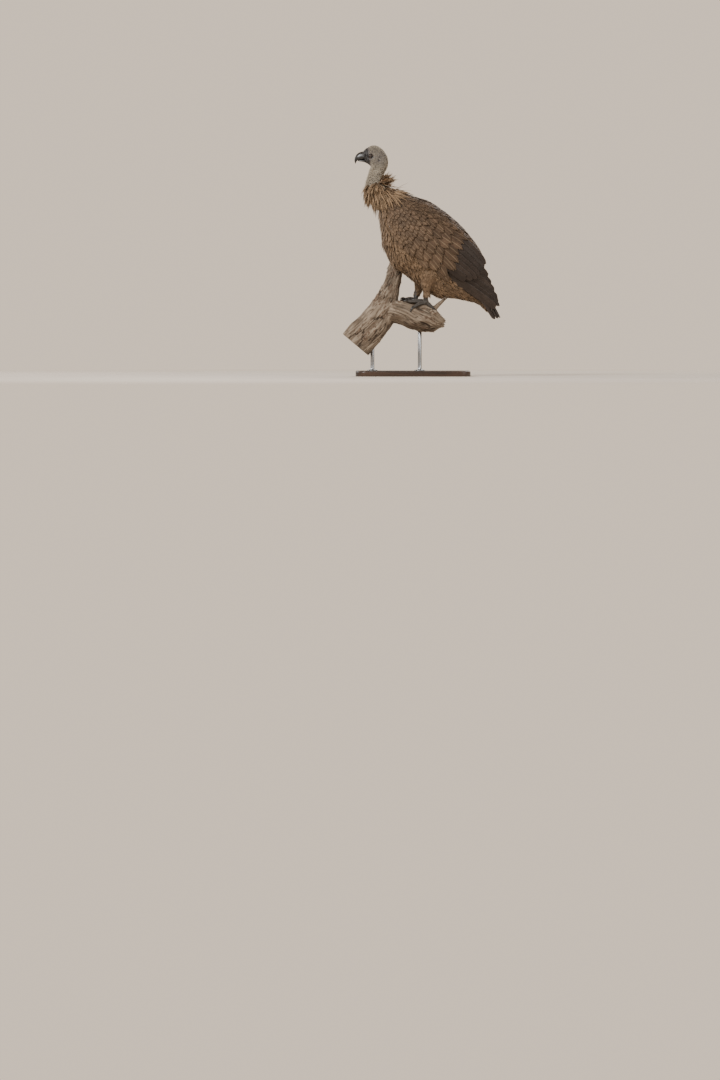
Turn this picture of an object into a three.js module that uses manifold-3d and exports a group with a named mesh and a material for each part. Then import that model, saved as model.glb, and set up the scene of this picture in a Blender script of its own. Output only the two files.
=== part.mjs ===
// A white-backed vulture in its immature plumage, life size, standing on a cut length of dead
// branch that two rods hold over a flat display base.
//
// Millimetres, +Z up. The bird faces -X and its left side faces -Y. Every place below is given in
// the bird's own frame, whose origin is the top of the branch between the feet. The last lines
// shift the whole model so that the origin is the middle of the base's underside.
import * as THREE from "three";
import { mergeVertices } from "three/addons/utils/BufferGeometryUtils.js";
import Module from "manifold-3d";

const wasm = await Module();
wasm.setup();

// ---------------------------------------------------------------- driving dimensions

const GAP = 0.35; // clearance between pieces that meet
const SIDES = { left: -1, right: 1 };

// Forms of the body are lofted through cross-sections, one to a row: the x and z of the section's
// upper end, the x and z of its lower end, and its half width.
const HEAD = sections([
  [-179, 520, -243, 525, 34],
  [-167, 541, -240, 534, 34],
  [-163, 562, -238, 541, 33],
  [-167, 588, -237, 545, 33],
  [-183, 614, -238, 548, 33.5],
  [-204, 630, -242, 551, 33],
  [-226, 634, -247, 555, 30],
  [-249, 624, -253, 559.5, 22],
  [-266, 609, -259, 563, 15.5],
]);
const NECK = sections([
  [-179, 519.6, -243, 524.6, 34],
  [-182, 499, -252, 495, 33],
  [-178, 473, -257, 462, 36],
  [-159, 457, -249, 420, 46],
  [-127.3, 449.3, -210.3, 372.3, 58],
]);
const TRUNK = sections([
  [-127, 449, -210, 372, 58],
  [-62, 426, -199, 320, 88],
  [-1, 406, -190, 262, 105],
  [56, 370, -174, 202, 114],
  [109, 325, -144, 141, 116],
  [154, 279, -96, 108, 110],
  [190, 228, -37, 58, 97],
  [214, 168, 32, 15, 80],
  [232, 104, 112, 5, 60],
  [250, 42, 198, -14, 40],
  [266, -8, 236, -44, 20],
]);
// The surface that the folded wings lie on. The last number squares its sections, which are round
// at the shoulder and slab-sided towards the wing tips.
const FOLDED = sections([
  [-127, 449, -211, 372, 62, 1],
  [-62, 427, -199, 318, 96, 1],
  [0, 407, -190, 262, 116, 0.95],
  [58, 371, -173, 199, 127, 0.9],
  [112, 327, -143, 139, 130, 0.85],
  [157, 282, -98, 100, 125, 0.78],
  [194, 238, -35, 56, 113, 0.7],
  [222, 193, 40, 16, 96, 0.6],
  [242, 151, 110, -5, 79, 0.5],
  [254, 96, 160, -14, 64, 0.45],
  [277, 38, 200, -24, 52, 0.42],
  [298, -10, 240, -44, 44, 0.4],
]);
const BILL_UPPER = sections([
  [-267, 608.2, -262.4, 576, 14.5],
  [-275, 606.5, -267, 575.2, 14],
  [-285, 602.5, -275, 574, 12.8],
  [-294, 594.5, -282, 573, 11],
  [-300, 584, -288, 571, 8.4],
  [-302, 573, -292.2, 567.5, 5.6],
  [-300.5, 564, -295, 562.5, 3.2],
  [-298, 557.5, -297.2, 557, 0.9],
]);
const BILL_LOWER = sections([
  [-262.2, 575.3, -260.6, 563.4, 12.8],
  [-267, 574.4, -267, 564.8, 12],
  [-275, 573.2, -275, 566.2, 10.4],
  [-282, 572.2, -282, 567.4, 8],
  [-287.2, 570.4, -287, 568.8, 3],
]);
const EYE = { x: -236, z: 589, outward: 23, radius: 9.2 };

// The ruff is a collar of two tiers that end in pointed tufts. The last number of a row is how far
// every second point of that ring is drawn out, more or less so around the neck.
const RUFF_TUFTS = 15;
const RUFF_DROOP = 0.35;
const RUFF_ROWS = [
  [-181, 500, -250, 486, 36, 0],
  [-172, 508, -258, 464, 44, 6],
  [-150, 500, -262, 440, 56, 12],
  [-140, 484, -254, 418, 58, 0],
  [-132, 466, -242, 386, 68, 13],
  [-120, 452, -222, 374, 70, 0],
];

// Depths under the folded surface, outer face then inner face. The bed is the room that a wing
// needs in the body beneath it.
const LAYER = { coverts: [0, 9], secondaries: [1, 4.5], primaries: [8, 11], bed: [-18, 14] };
const FEATHER_STEP = 1.6; // a flight feather's inner edge lies this far under its neighbour
const WING_MIDLINE_GAP = 4; // a wing keeps this far from the middle plane

// Spots on the folded surface, as [x, z]. An area lies between a lower and an upper line, with its
// front edge bowed forwards. Flight feathers run from a line of bases to a line of tips.
const COVERTS = {
  lower: [[-178, 318], [-142, 256], [-84, 202], [-12, 158], [60, 112]],
  upper: [[-120, 426], [-60, 409], [0, 385], [64, 342], [122, 292]],
  bow: 12,
};
const BED = {
  lower: [[-196, 318], [-152, 238], [-84, 180], [0, 122], [100, 62], [190, 0], [268, -58]],
  upper: [[-122, 444], [-52, 420], [12, 392], [96, 332], [170, 264], [262, 152], [330, -10]],
  bow: 14,
};
const SECONDARIES = {
  bases: [[92, 306], [80, 276], [68, 248], [56, 222], [44, 196], [32, 176], [18, 160]],
  tips: [[243, 158], [244, 130], [236, 108], [220, 94], [199, 85], [173, 80], [140, 82]],
  count: 7,
  notch: 9,
  bow: 10,
};
const PRIMARIES = {
  bases: [[160, 196], [128, 178], [96, 152], [66, 128], [42, 110]],
  tips: [[244, 104], [256, 74], [269, 47], [283, 19], [297, -10], [288, -26], [262, -38]],
  count: 6,
  notch: 9,
  bow: 6,
};
const TAIL = {
  root: [176, 92],
  tip: [298, -73],
  feathers: 7,
  rootHalf: 30,
  tipHalf: 58,
  arch: 28,
  shorter: 19,
  notch: 9,
  thick: 5,
};

const THIGH = {
  right: [[12, 54, 175], [-14, 54, 115], [-36, 50, 66], [-44, 46, 34]],
  left: [[24, -54, 165], [8, -54, 105], [-4, -50, 60], [-7, -46, 28]],
  radii: [46, 43, 27, 15.5],
};
const TARSUS = {
  right: [[-44, 46, 40], [-49, 38, 12], [-51, 32, -3]],
  left: [[-7, -46, 34], [-9, -38, 8], [-10, -32, -8]],
  radii: [11.5, 9.6, 11.5],
};

// Toes and claws spread over the branch. Turn is in degrees from straight ahead, away from the
// middle plane, and reach is the length seen from above. A lift is a share of the reach with the
// height over the wood there, in toe radii. The right foot stands in the fork of the branch and
// bends its middle toe more.
const TOES = [
  { name: "inner", turn: -26, reach: 46, radius: 8.4, claw: 26 },
  { name: "middle", turn: 2, reach: 68, radius: 8.4, claw: 24 },
  { name: "outer", turn: 28, reach: 52, radius: 7.4, claw: 20 },
  { name: "hind", turn: 176, reach: 27, radius: 8.2, claw: 26 },
];
const TOE_LIFT = [[0, 1.1], [0.35, 1.45], [0.7, 1.1], [1, 0.8]];
const BENT_TOE = { reach: 46, claw: 20, lift: [[0, 1.1], [0.35, 2], [0.7, 1.7], [1, 0.8]] };
const TOE_TAPER = [1, 1, 0.92, 0.7];
const CLAW_LIFT = [[0.05, 0.8], [0.4, 1.15], [0.75, 0.9], [1, 0.25]];
const CLAW_RADII = [5.2, 4.6, 3.2, 0.9];

// The branch forks: its limb rises past the bird's breast, and the stub that the bird stands on
// ends in a broken twig.
const LIMB = {
  points: [
    [-296, 0, -184],
    [-228, 0, -103],
    [-183, 6, -33],
    [-159, 22, 26],
    [-143, 52, 80],
    [-129, 92, 138],
    [-120, 118, 178],
  ],
  radii: [67, 65, 58, 41, 33, 30, 23],
};
const STUB = {
  points: [[-190, 0, -44], [-110, 0, -50], [-50, 0, -66], [0, 0, -77], [32, 0, -87], [58, 0, -93]],
  tall: [40, 49, 57, 56, 42, 21],
  wide: [44, 58, 68, 70, 58, 28],
};
const TWIG = {
  points: [[6, -16, -55], [38, -18, -23], [64, -20, -1], [81, -21, 9]],
  radii: [11, 8, 4.5, 1.2],
};

const BASE = { middle: -62, underside: -312, long: 470, wide: 280, thick: 22, corner: 46, bevel: 3 };
const RODS = { front: { x: -228, top: -150 }, rear: { x: -34, top: -100 } };
const ROD_RADIUS = 8;
const ROD_IN_BASE = 14;

// ---------------------------------------------------------------- lines and sections

function v3(x, y, z) {
  return new THREE.Vector3(x, y, z);
}

function mix(a, b, t) {
  return a + (b - a) * t;
}

// A smooth line through [x, z] points, read by its share of the way along.
function line(points) {
  const curve = new THREE.SplineCurve(points.map(([x, z]) => new THREE.Vector2(x, z)));
  return (u) => curve.getPoint(u);
}

// A smooth value through a list of numbers, read the same way.
function values(list) {
  const curve = line(list.map((value, i) => [i, value]));
  return (u) => curve(u).y;
}

// The lines and values that a table of cross-sections gives.
function sections(rows) {
  return {
    high: line(rows.map((row) => row.slice(0, 2))),
    low: line(rows.map((row) => row.slice(2, 4))),
    half: values(rows.map((row) => row[4])),
    square: values(rows.map((row) => row[5] ?? 1)),
  };
}

// One round cross-section between two points of the middle plane. Power squares its sides, egg
// moves its widest level, and grow makes it larger all round.
function sectionRing(high, low, half, { around, power = 1, egg = 0, grow = 0 }) {
  const middle = high.clone().add(low).multiplyScalar(0.5);
  const up = high.clone().sub(low).multiplyScalar(0.5);
  up.multiplyScalar(1 + grow / up.length());
  return Array.from({ length: around }, (_, j) => {
    const angle = (2 * Math.PI * j) / around;
    const [level, round] = [Math.cos(angle), Math.sin(angle)];
    const y = Math.sign(round) * Math.abs(round) ** power * (half + grow) * (1 + egg * level);
    return v3(middle.x + up.x * level, y, middle.y + up.y * level);
  });
}

// ---------------------------------------------------------------- closed bodies

// Indexed geometry from points and triangles, turned to face outwards.
function closed(points, faces) {
  const volume = faces.reduce((sum, [a, b, c]) => {
    return sum + points[a].dot(points[b].clone().cross(points[c]));
  }, 0);
  const turned = volume < 0 ? faces.map(([a, b, c]) => [a, c, b]) : faces;
  const geometry = new THREE.BufferGeometry().setFromPoints(points);
  geometry.setIndex(turned.flat());
  return geometry;
}

function centre(ring) {
  return ring.reduce((sum, point) => sum.addScaledVector(point, 1 / ring.length), v3(0, 0, 0));
}

// A body from rings with the same number of points, closed at both ends.
function loft(rings) {
  const around = rings[0].length;
  const points = rings.flat();
  const faces = [];
  for (let i = 0; i + 1 < rings.length; i++) {
    for (let j = 0; j < around; j++) {
      const a = i * around + j;
      const b = i * around + ((j + 1) % around);
      faces.push([a, b, b + around], [a, b + around, a + around]);
    }
  }
  const last = (rings.length - 1) * around;
  for (const first of [0, last]) {
    points.push(centre(points.slice(first, first + around)));
    for (let j = 0; j < around; j++) {
      const [a, b] = [first + j, first + ((j + 1) % around)];
      faces.push(first === last ? [a, b, points.length - 1] : [b, a, points.length - 1]);
    }
  }
  return closed(points, faces);
}

// Moves the first and last rings apart, so that a grown body is longer too.
function stretchEnds(rings, grow) {
  for (const [end, next] of [[rings[0], rings[1]], [rings.at(-1), rings.at(-2)]]) {
    const away = centre(end).sub(centre(next)).normalize().multiplyScalar(grow);
    end.forEach((point) => point.add(away));
  }
}

// A form of the body through its cross-sections.
function form(table, { around, along, egg = 0, grow = 0 }) {
  const rings = Array.from({ length: along + 1 }, (_, i) => {
    const u = i / along;
    return sectionRing(table.high(u), table.low(u), table.half(u), { around, egg, grow });
  });
  if (grow) stretchEnds(rings, grow);
  return loft(rings);
}

// A round or oval limb along a path. Surface scales the radius by the angle and the share along.
function limb({ points, radii, wide = radii, tall = radii }, { around, along, grow = 0, surface = () => 1 }) {
  const curve = new THREE.CatmullRomCurve3(points.map((point) => v3(...point)));
  const [halfWide, halfTall] = [values(wide), values(tall)];
  const rings = Array.from({ length: along + 1 }, (_, i) => {
    const u = i / along;
    const ahead = curve.getTangent(u);
    const across = v3(0, 1, 0).addScaledVector(ahead, -ahead.y).normalize();
    const up = across.clone().cross(ahead).normalize();
    return Array.from({ length: around }, (_, j) => {
      const angle = (2 * Math.PI * j) / around;
      const scale = surface(angle, u);
      const sideways = Math.cos(angle) * (halfWide(u) * scale + grow);
      const upwards = Math.sin(angle) * (halfTall(u) * scale + grow);
      return curve.getPoint(u).addScaledVector(across, sideways).addScaledVector(up, upwards);
    });
  });
  if (grow) stretchEnds(rings, grow);
  return loft(rings);
}

// A thin body between two grids of points that have the same rows and columns.
function sheet(outer, inner) {
  const [rows, columns] = [outer.length, outer[0].length];
  const [lastRow, lastColumn] = [rows - 1, columns - 1];
  const at = (face, i, j) => (face * rows + i) * columns + j;
  const faces = [];
  const quad = (a, b, c, d) => faces.push([a, b, c], [a, c, d]);
  for (let i = 0; i < lastRow; i++) {
    for (let j = 0; j < lastColumn; j++) {
      quad(at(0, i, j), at(0, i, j + 1), at(0, i + 1, j + 1), at(0, i + 1, j));
      quad(at(1, i + 1, j), at(1, i + 1, j + 1), at(1, i, j + 1), at(1, i, j));
    }
    quad(at(0, i, 0), at(0, i + 1, 0), at(1, i + 1, 0), at(1, i, 0));
    quad(at(1, i, lastColumn), at(1, i + 1, lastColumn), at(0, i + 1, lastColumn), at(0, i, lastColumn));
  }
  for (let j = 0; j < lastColumn; j++) {
    quad(at(1, 0, j), at(1, 0, j + 1), at(0, 0, j + 1), at(0, 0, j));
    quad(at(0, lastRow, j), at(0, lastRow, j + 1), at(1, lastRow, j + 1), at(1, lastRow, j));
  }
  return closed([...outer.flat(), ...inner.flat()], faces);
}

// ---------------------------------------------------------------- joins and cuts

const MERGE = 1e-3;

function solid(geometry) {
  const bare = geometry.clone();
  bare.deleteAttribute("normal");
  bare.deleteAttribute("uv");
  const merged = mergeVertices(bare, MERGE);
  return new wasm.Manifold(
    new wasm.Mesh({
      numProp: 3,
      vertProperties: merged.attributes.position.array,
      triVerts: new Uint32Array(merged.index.array),
    }),
  );
}

function join(...bodies) {
  return bodies.reduce((all, body) => all.add(body));
}

function cut(body, ...tools) {
  return tools.reduce((rest, tool) => rest.subtract(tool), body);
}

// The largest piece, where a cut leaves crumbs.
function mainPiece(body) {
  return body.decompose().reduce((best, piece) => (piece.volume() > best.volume() ? piece : best));
}

function geometryOf(body) {
  const mesh = body.getMesh();
  const geometry = new THREE.BufferGeometry();
  geometry.setAttribute("position", new THREE.BufferAttribute(mesh.vertProperties, 3));
  geometry.setIndex(new THREE.BufferAttribute(mesh.triVerts, 1));
  geometry.computeVertexNormals();
  return geometry;
}

// ---------------------------------------------------------------- materials

function finish(color, roughness, metalness = 0) {
  return new THREE.MeshStandardMaterial({ color, roughness, metalness });
}

const MATERIALS = {
  skin: finish(0x4a4541, 0.7),
  horn: finish(0x1d1b1a, 0.35),
  eye: finish(0x1e120b, 0.08),
  ruff: finish(0x8a7257, 0.9),
  plumage: finish(0x5d4a3a, 0.9),
  coverts: finish(0x67523f, 0.85),
  flight: finish(0x2a2320, 0.7),
  leg: finish(0x45413d, 0.75),
  wood: finish(0x7b6c5c, 0.9),
  base: finish(0x2c2927, 0.5),
  steel: finish(0x8d8f91, 0.35, 1),
};

const model = new THREE.Group();

function place(name, material, body) {
  const mesh = new THREE.Mesh(geometryOf(mainPiece(body)), MATERIALS[material]);
  mesh.name = name;
  model.add(mesh);
}

// ---------------------------------------------------------------- folded wings

const HALVINGS = 26;

// The share along a folded surface of the section that a spot of the side view lies on.
function shareOfSection(spot) {
  let [before, after] = [0, 1];
  for (let i = 0; i < HALVINGS; i++) {
    const u = (before + after) / 2;
    const low = FOLDED.low(u);
    const across = FOLDED.high(u).sub(low);
    if (across.cross(spot.clone().sub(low)) < 0) before = u;
    else after = u;
  }
  return before;
}

// The point of one side's folded surface that shows at (x, z), moved inwards by a depth.
function onFolded(side, x, z, depth) {
  const spot = new THREE.Vector2(x, z);
  const u = shareOfSection(spot);
  const low = FOLDED.low(u);
  const across = FOLDED.high(u).sub(low);
  const share = THREE.MathUtils.clamp(spot.sub(low).dot(across) / across.lengthSq(), 0, 1);
  const level = 2 * share - 1;
  const round = Math.sqrt(1 - level * level) ** FOLDED.square(u);
  const y = Math.max(round * (FOLDED.half(u) - depth), WING_MIDLINE_GAP);
  across.normalize().multiplyScalar(level * depth);
  return v3(x - across.x, side * y, z - across.y);
}

// A part of a folded wing over a grid of spots, between two depths.
function slab(side, grid, [outer, inner], sink = () => 0) {
  const face = (depth) => {
    return grid.map((row) => row.map(([x, z], j) => onFolded(side, x, z, depth + sink(j))));
  };
  return solid(sheet(face(outer), face(inner)));
}

// A grid of spots over an area.
function area({ lower, upper, bow }, rows, columns) {
  const [low, high] = [line(lower), line(upper)];
  return Array.from({ length: rows + 1 }, (_, i) => {
    const u = i / rows;
    const [from, to] = [low(u), high(u)];
    return Array.from({ length: columns + 1 }, (_, j) => {
      const t = j / columns;
      const forwards = bow * (1 - u) * Math.sin(Math.PI * t);
      return [mix(from.x, to.x, t) - forwards, mix(from.y, to.y, t)];
    });
  });
}

// The same grid with its edges moved outwards.
function widened(grid, by) {
  const moved = grid.map((row) => row.map(([x, z]) => new THREE.Vector2(x, z)));
  const column = (j) => moved.map((row) => row.at(j));
  const push = (edge, inner) => {
    edge.forEach((spot, k) => spot.addScaledVector(spot.clone().sub(inner[k]).normalize(), by));
  };
  push(moved[0], moved[1]);
  push(moved.at(-1), moved.at(-2));
  push(column(0), column(1));
  push(column(-1), column(-2));
  return moved.map((row) => row.map(({ x, y }) => [x, y]));
}

// Flight feathers lying side by side, from the innermost to the outermost, as one grid: three
// columns for each feather, whose rounded tips stand past the notches between them.
const FEATHER_EDGES = [-0.96, 0, 0.96];
const FEATHER_ROWS = [0, 0.5, 0.88, 1];

function fan({ bases, tips, count, notch, bow }) {
  const [baseLine, tipLine] = [line(bases), line(tips)];
  const spot = (share, k, edge) => {
    const s = (k + 0.5 + edge / 2) / count;
    const base = baseLine(s);
    const shaft = tipLine(s).sub(base);
    const reach = (shaft.length() - (share === 1 ? notch * Math.abs(edge) : 0)) * share;
    const sag = bow * Math.sin(Math.PI * share);
    shaft.normalize();
    return [base.x + shaft.x * reach - shaft.y * sag, base.y + shaft.y * reach + shaft.x * sag];
  };
  return FEATHER_ROWS.map((share) => {
    return Array.from({ length: count }, (_, k) => FEATHER_EDGES.map((edge) => spot(share, k, edge))).flat();
  });
}

// How far a fan's column is tucked under the feather before it.
function tucked(column) {
  return [FEATHER_STEP, FEATHER_STEP / 2, 0][column % FEATHER_EDGES.length];
}

function wing(sideName, side) {
  const coverts = area(COVERTS, 8, 5);
  const clearance = slab(side, widened(coverts, 1), [-3, LAYER.coverts[1] + GAP]);
  place(`wing_${sideName}_coverts`, "coverts", slab(side, coverts, LAYER.coverts));
  const secondaries = slab(side, fan(SECONDARIES), LAYER.secondaries, tucked);
  place(`wing_${sideName}_secondaries`, "flight", cut(secondaries, clearance));
  const primaries = slab(side, fan(PRIMARIES), LAYER.primaries, tucked);
  place(`wing_${sideName}_primaries`, "flight", cut(primaries, clearance));
}

// ---------------------------------------------------------------- tail

const TAIL_ROWS = [0, 0.93, 1];

// The tail's feathers as one folded fan, or the room that they need, which has no steps.
function tailFan(room = false) {
  const [root, tip] = [new THREE.Vector2(...TAIL.root), new THREE.Vector2(...TAIL.tip)];
  const length = tip.distanceTo(root);
  const ahead = tip.sub(root).normalize();
  const up = new THREE.Vector2(-ahead.y, ahead.x);
  const spare = room ? 2 * GAP : 0;
  const point = (share, k, edge, depth) => {
    const t = (2 * k + 1 + edge) / TAIL.feathers - 1;
    const notch = share === 1 ? TAIL.notch * Math.abs(edge) : 0;
    const reach = (length - TAIL.shorter * t * t - notch) * share - (share === 0 ? spare : 0);
    const tuck = !room && edge * t < -0.02 ? FEATHER_STEP : 0;
    const lift = -TAIL.arch * t * t * mix(0.5, 1, share) - tuck - depth;
    const y = t * (mix(TAIL.rootHalf, TAIL.tipHalf, share) + 2 * spare);
    return v3(root.x + ahead.x * reach + up.x * lift, y, root.y + ahead.y * reach + up.y * lift);
  };
  const face = (depth) => TAIL_ROWS.map((share) => {
    const feather = (_, k) => FEATHER_EDGES.map((edge) => point(share, k, edge, depth));
    return Array.from({ length: TAIL.feathers }, feather).flat();
  });
  return solid(sheet(face(-spare), face(TAIL.thick + spare + (room ? FEATHER_STEP : 0))));
}

// ---------------------------------------------------------------- branch and rods

// Ridges and hollows of weathered wood, as a scale of the radius.
function weathered(turn) {
  return (angle, u) => {
    const drift = 9 * u + turn;
    const broad = 0.05 * Math.sin(3 * angle + drift);
    const narrow = 0.03 * Math.sin(5 * angle - 2 * drift) + 0.02 * Math.sin(8 * angle + 3 * drift);
    return 1 + broad + narrow;
  };
}

function branch(grow = 0) {
  return join(
    solid(limb(LIMB, { around: 12, along: 11, grow, surface: weathered(0.4) })),
    solid(limb(STUB, { around: 12, along: 10, grow, surface: weathered(2.1) })),
    solid(limb(TWIG, { around: 8, along: 5, grow })),
  );
}

function rod({ x, top }, grow = 0) {
  const bottom = BASE.underside + BASE.thick - ROD_IN_BASE - grow;
  const length = top + grow - bottom;
  const geometry = new THREE.CylinderGeometry(ROD_RADIUS + grow, ROD_RADIUS + grow, length, 16);
  return solid(geometry.rotateX(Math.PI / 2).translate(x, 0, bottom + length / 2));
}

const branchRoom = branch(GAP);
const rodRooms = Object.values(RODS).map((where) => rod(where, GAP));
place("perch", "wood", cut(branch(), ...rodRooms));

// ---------------------------------------------------------------- body

const beds = Object.values(SIDES).map((side) => slab(side, area(BED, 7, 3), LAYER.bed));
for (const [sideName, side] of Object.entries(SIDES)) wing(sideName, side);
place("tail", "flight", cut(tailFan(), ...beds));

const thighRooms = {};
for (const sideName of Object.keys(SIDES)) {
  const shape = { points: THIGH[sideName], radii: THIGH.radii };
  thighRooms[sideName] = solid(limb(shape, { around: 14, along: 8, grow: GAP }));
  place(`thigh_${sideName}`, "plumage", cut(solid(limb(shape, { around: 14, along: 8 })), ...beds));
}

const TRUNK_FACES = { around: 18, along: 11, egg: -0.08 };
const NECK_FACES = { around: 16, along: 6 };
const trunkRooms = [...beds, ...Object.values(thighRooms), tailFan(true), branchRoom];
place("trunk", "plumage", cut(solid(form(TRUNK, TRUNK_FACES)), ...trunkRooms));
place("neck", "skin", solid(form(NECK, NECK_FACES)));

function ruffCollar() {
  const rings = RUFF_ROWS.map(([highX, highZ, lowX, lowZ, half, drawn], i) => {
    const [high, low] = [new THREE.Vector2(highX, highZ), new THREE.Vector2(lowX, lowZ)];
    const ring = sectionRing(high, low, half, { around: 2 * RUFF_TUFTS });
    const middle = centre(ring);
    for (let j = 0; j < ring.length; j += 2) {
      const angle = (2 * Math.PI * j) / ring.length;
      const uneven = 1 + 0.35 * Math.sin(5 * angle + 2 * i) + 0.2 * Math.sin(11 * angle);
      const outward = ring[j].clone().sub(middle).normalize();
      outward.z -= RUFF_DROOP;
      ring[j].addScaledVector(outward, drawn * uneven);
    }
    return ring;
  });
  return solid(loft(rings));
}

const neckRoom = solid(form(NECK, { ...NECK_FACES, grow: GAP }));
const trunkRoom = solid(form(TRUNK, { ...TRUNK_FACES, grow: GAP }));
place("ruff", "ruff", cut(ruffCollar(), neckRoom, trunkRoom, ...beds));

// ---------------------------------------------------------------- head

function eyeball(side, grow = 0) {
  const ball = new THREE.SphereGeometry(EYE.radius + grow, 12, 7);
  return solid(ball.translate(EYE.x, side * EYE.outward, EYE.z));
}

const sockets = Object.values(SIDES).map((side) => eyeball(side, GAP));
place("head", "skin", cut(solid(form(HEAD, { around: 20, along: 12 })), ...sockets));
for (const [sideName, side] of Object.entries(SIDES)) place(`eye_${sideName}`, "eye", eyeball(side));
place("bill_upper", "horn", solid(form(BILL_UPPER, { around: 12, along: 10, egg: -0.2 })));
place("bill_lower", "horn", solid(form(BILL_LOWER, { around: 12, along: 6 })));

// ---------------------------------------------------------------- legs and feet

// Height of the stub's upper side at (x, y).
function stubTop(x, y) {
  const curve = new THREE.CatmullRomCurve3(STUB.points.map((point) => v3(...point)));
  let [before, after] = [0, 1];
  for (let i = 0; i < HALVINGS; i++) {
    const u = (before + after) / 2;
    if (curve.getPoint(u).x < x) before = u;
    else after = u;
  }
  const level = Math.sqrt(Math.max(0, 1 - (y / values(STUB.wide)(before)) ** 2));
  return curve.getPoint(before).z + values(STUB.tall)(before) * level;
}

// A path over the branch from the ankle, through places of so much reach and height.
function overBranch(side, ankle, turn, places) {
  const heading = THREE.MathUtils.degToRad(turn);
  return places.map(([reach, height]) => {
    const x = ankle[0] - Math.cos(heading) * reach;
    const y = ankle[1] + side * Math.sin(heading) * reach;
    return [x, y, stubTop(x, y) + height];
  });
}

function foot(sideName, side) {
  const ankle = TARSUS[sideName].at(-1);
  const shank = { points: TARSUS[sideName], radii: TARSUS.radii };
  const shankBody = solid(limb(shank, { around: 10, along: 4 }));
  place(`tarsus_${sideName}`, "leg", cut(shankBody, branchRoom, thighRooms[sideName]));
  const earlier = [solid(limb(shank, { around: 10, along: 4, grow: GAP }))];
  for (const toe of TOES) {
    const bent = sideName === "right" && toe.name === "middle" ? BENT_TOE : {};
    const { name, turn, reach, radius, claw, lift } = { lift: TOE_LIFT, ...toe, ...bent };
    const toePlaces = lift.map(([share, height]) => [share * reach, height * radius]);
    const points = overBranch(side, ankle, turn, toePlaces);
    const shape = { points, radii: TOE_TAPER.map((share) => share * radius) };
    const toeBody = solid(limb(shape, { around: 7, along: 4 }));
    place(`toe_${sideName}_${name}`, "leg", cut(toeBody, branchRoom, ...earlier));
    const toeRoom = solid(limb(shape, { around: 7, along: 4, grow: GAP }));
    earlier.push(toeRoom);
    const clawPlaces = CLAW_LIFT.map(([share, height]) => [reach + share * claw, height * radius]);
    const clawShape = { points: overBranch(side, ankle, turn, clawPlaces), radii: CLAW_RADII };
    const clawBody = solid(limb(clawShape, { around: 5, along: 4 }));
    place(`claw_${sideName}_${name}`, "horn", cut(clawBody, toeRoom, branchRoom));
  }
}

for (const [sideName, side] of Object.entries(SIDES)) foot(sideName, side);

// ---------------------------------------------------------------- display stand

function baseOutline() {
  const [x, y, r] = [BASE.long / 2 - BASE.bevel, BASE.wide / 2 - BASE.bevel, BASE.corner];
  const quarter = Math.PI / 2;
  const outline = new THREE.Shape();
  outline.moveTo(-x + r, -y);
  outline.absarc(x - r, -y + r, r, -quarter, 0);
  outline.absarc(x - r, y - r, r, 0, quarter);
  outline.absarc(-x + r, y - r, r, quarter, 2 * quarter);
  outline.absarc(-x + r, -y + r, r, 2 * quarter, 3 * quarter);
  return outline;
}

const baseBlank = new THREE.ExtrudeGeometry(baseOutline(), {
  depth: BASE.thick - 2 * BASE.bevel,
  bevelSize: BASE.bevel,
  bevelThickness: BASE.bevel,
  bevelSegments: 1,
  curveSegments: 4,
}).translate(BASE.middle, 0, BASE.underside + BASE.bevel);
place("stand_base", "base", cut(solid(baseBlank), ...rodRooms));
for (const [name, where] of Object.entries(RODS)) place(`stand_rod_${name}`, "steel", rod(where));

model.position.set(-BASE.middle, 0, -BASE.underside);
const vulture = new THREE.Group();
vulture.add(model);

export default vulture;
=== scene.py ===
"""A young white-backed vulture on a cut length of dead branch, as a Blender add-on that is run as a script."""

import itertools
import math

import bmesh
import bpy
import numpy as np
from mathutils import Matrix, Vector
from mathutils.bvhtree import BVHTree


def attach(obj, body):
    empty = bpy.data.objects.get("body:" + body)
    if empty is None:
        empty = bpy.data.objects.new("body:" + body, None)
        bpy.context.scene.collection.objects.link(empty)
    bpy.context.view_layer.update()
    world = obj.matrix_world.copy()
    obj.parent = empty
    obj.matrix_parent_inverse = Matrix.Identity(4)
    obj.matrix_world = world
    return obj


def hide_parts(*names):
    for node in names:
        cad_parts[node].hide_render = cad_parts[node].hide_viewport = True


bl_info = {
    "name": "Perched vulture",
    "version": (1, 0, 0),
    "blender": (4, 5, 0),
    "location": "View3D > Sidebar > Vulture",
    "description": "Builds the finished vulture, its perch and its stand around the packed solids",
    "category": "Object",
}

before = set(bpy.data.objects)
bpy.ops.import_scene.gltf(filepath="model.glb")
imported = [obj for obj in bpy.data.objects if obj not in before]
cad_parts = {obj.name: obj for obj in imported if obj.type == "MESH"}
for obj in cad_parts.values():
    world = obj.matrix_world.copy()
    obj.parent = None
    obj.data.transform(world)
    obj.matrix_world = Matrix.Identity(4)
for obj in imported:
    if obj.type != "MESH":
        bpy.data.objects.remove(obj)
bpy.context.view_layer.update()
BODY = "root"
MM = 0.001

# ---------------------------------------------------------------- forms of the bird and its perch

# Millimetres in the bird's own frame, whose origin is the top of the branch between the feet.
# The bird faces -X and its left side faces -Y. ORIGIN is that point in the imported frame.
ORIGIN = np.array([62.0, 0.0, 312.0])
SIDES = {"left": -1, "right": 1}

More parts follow.
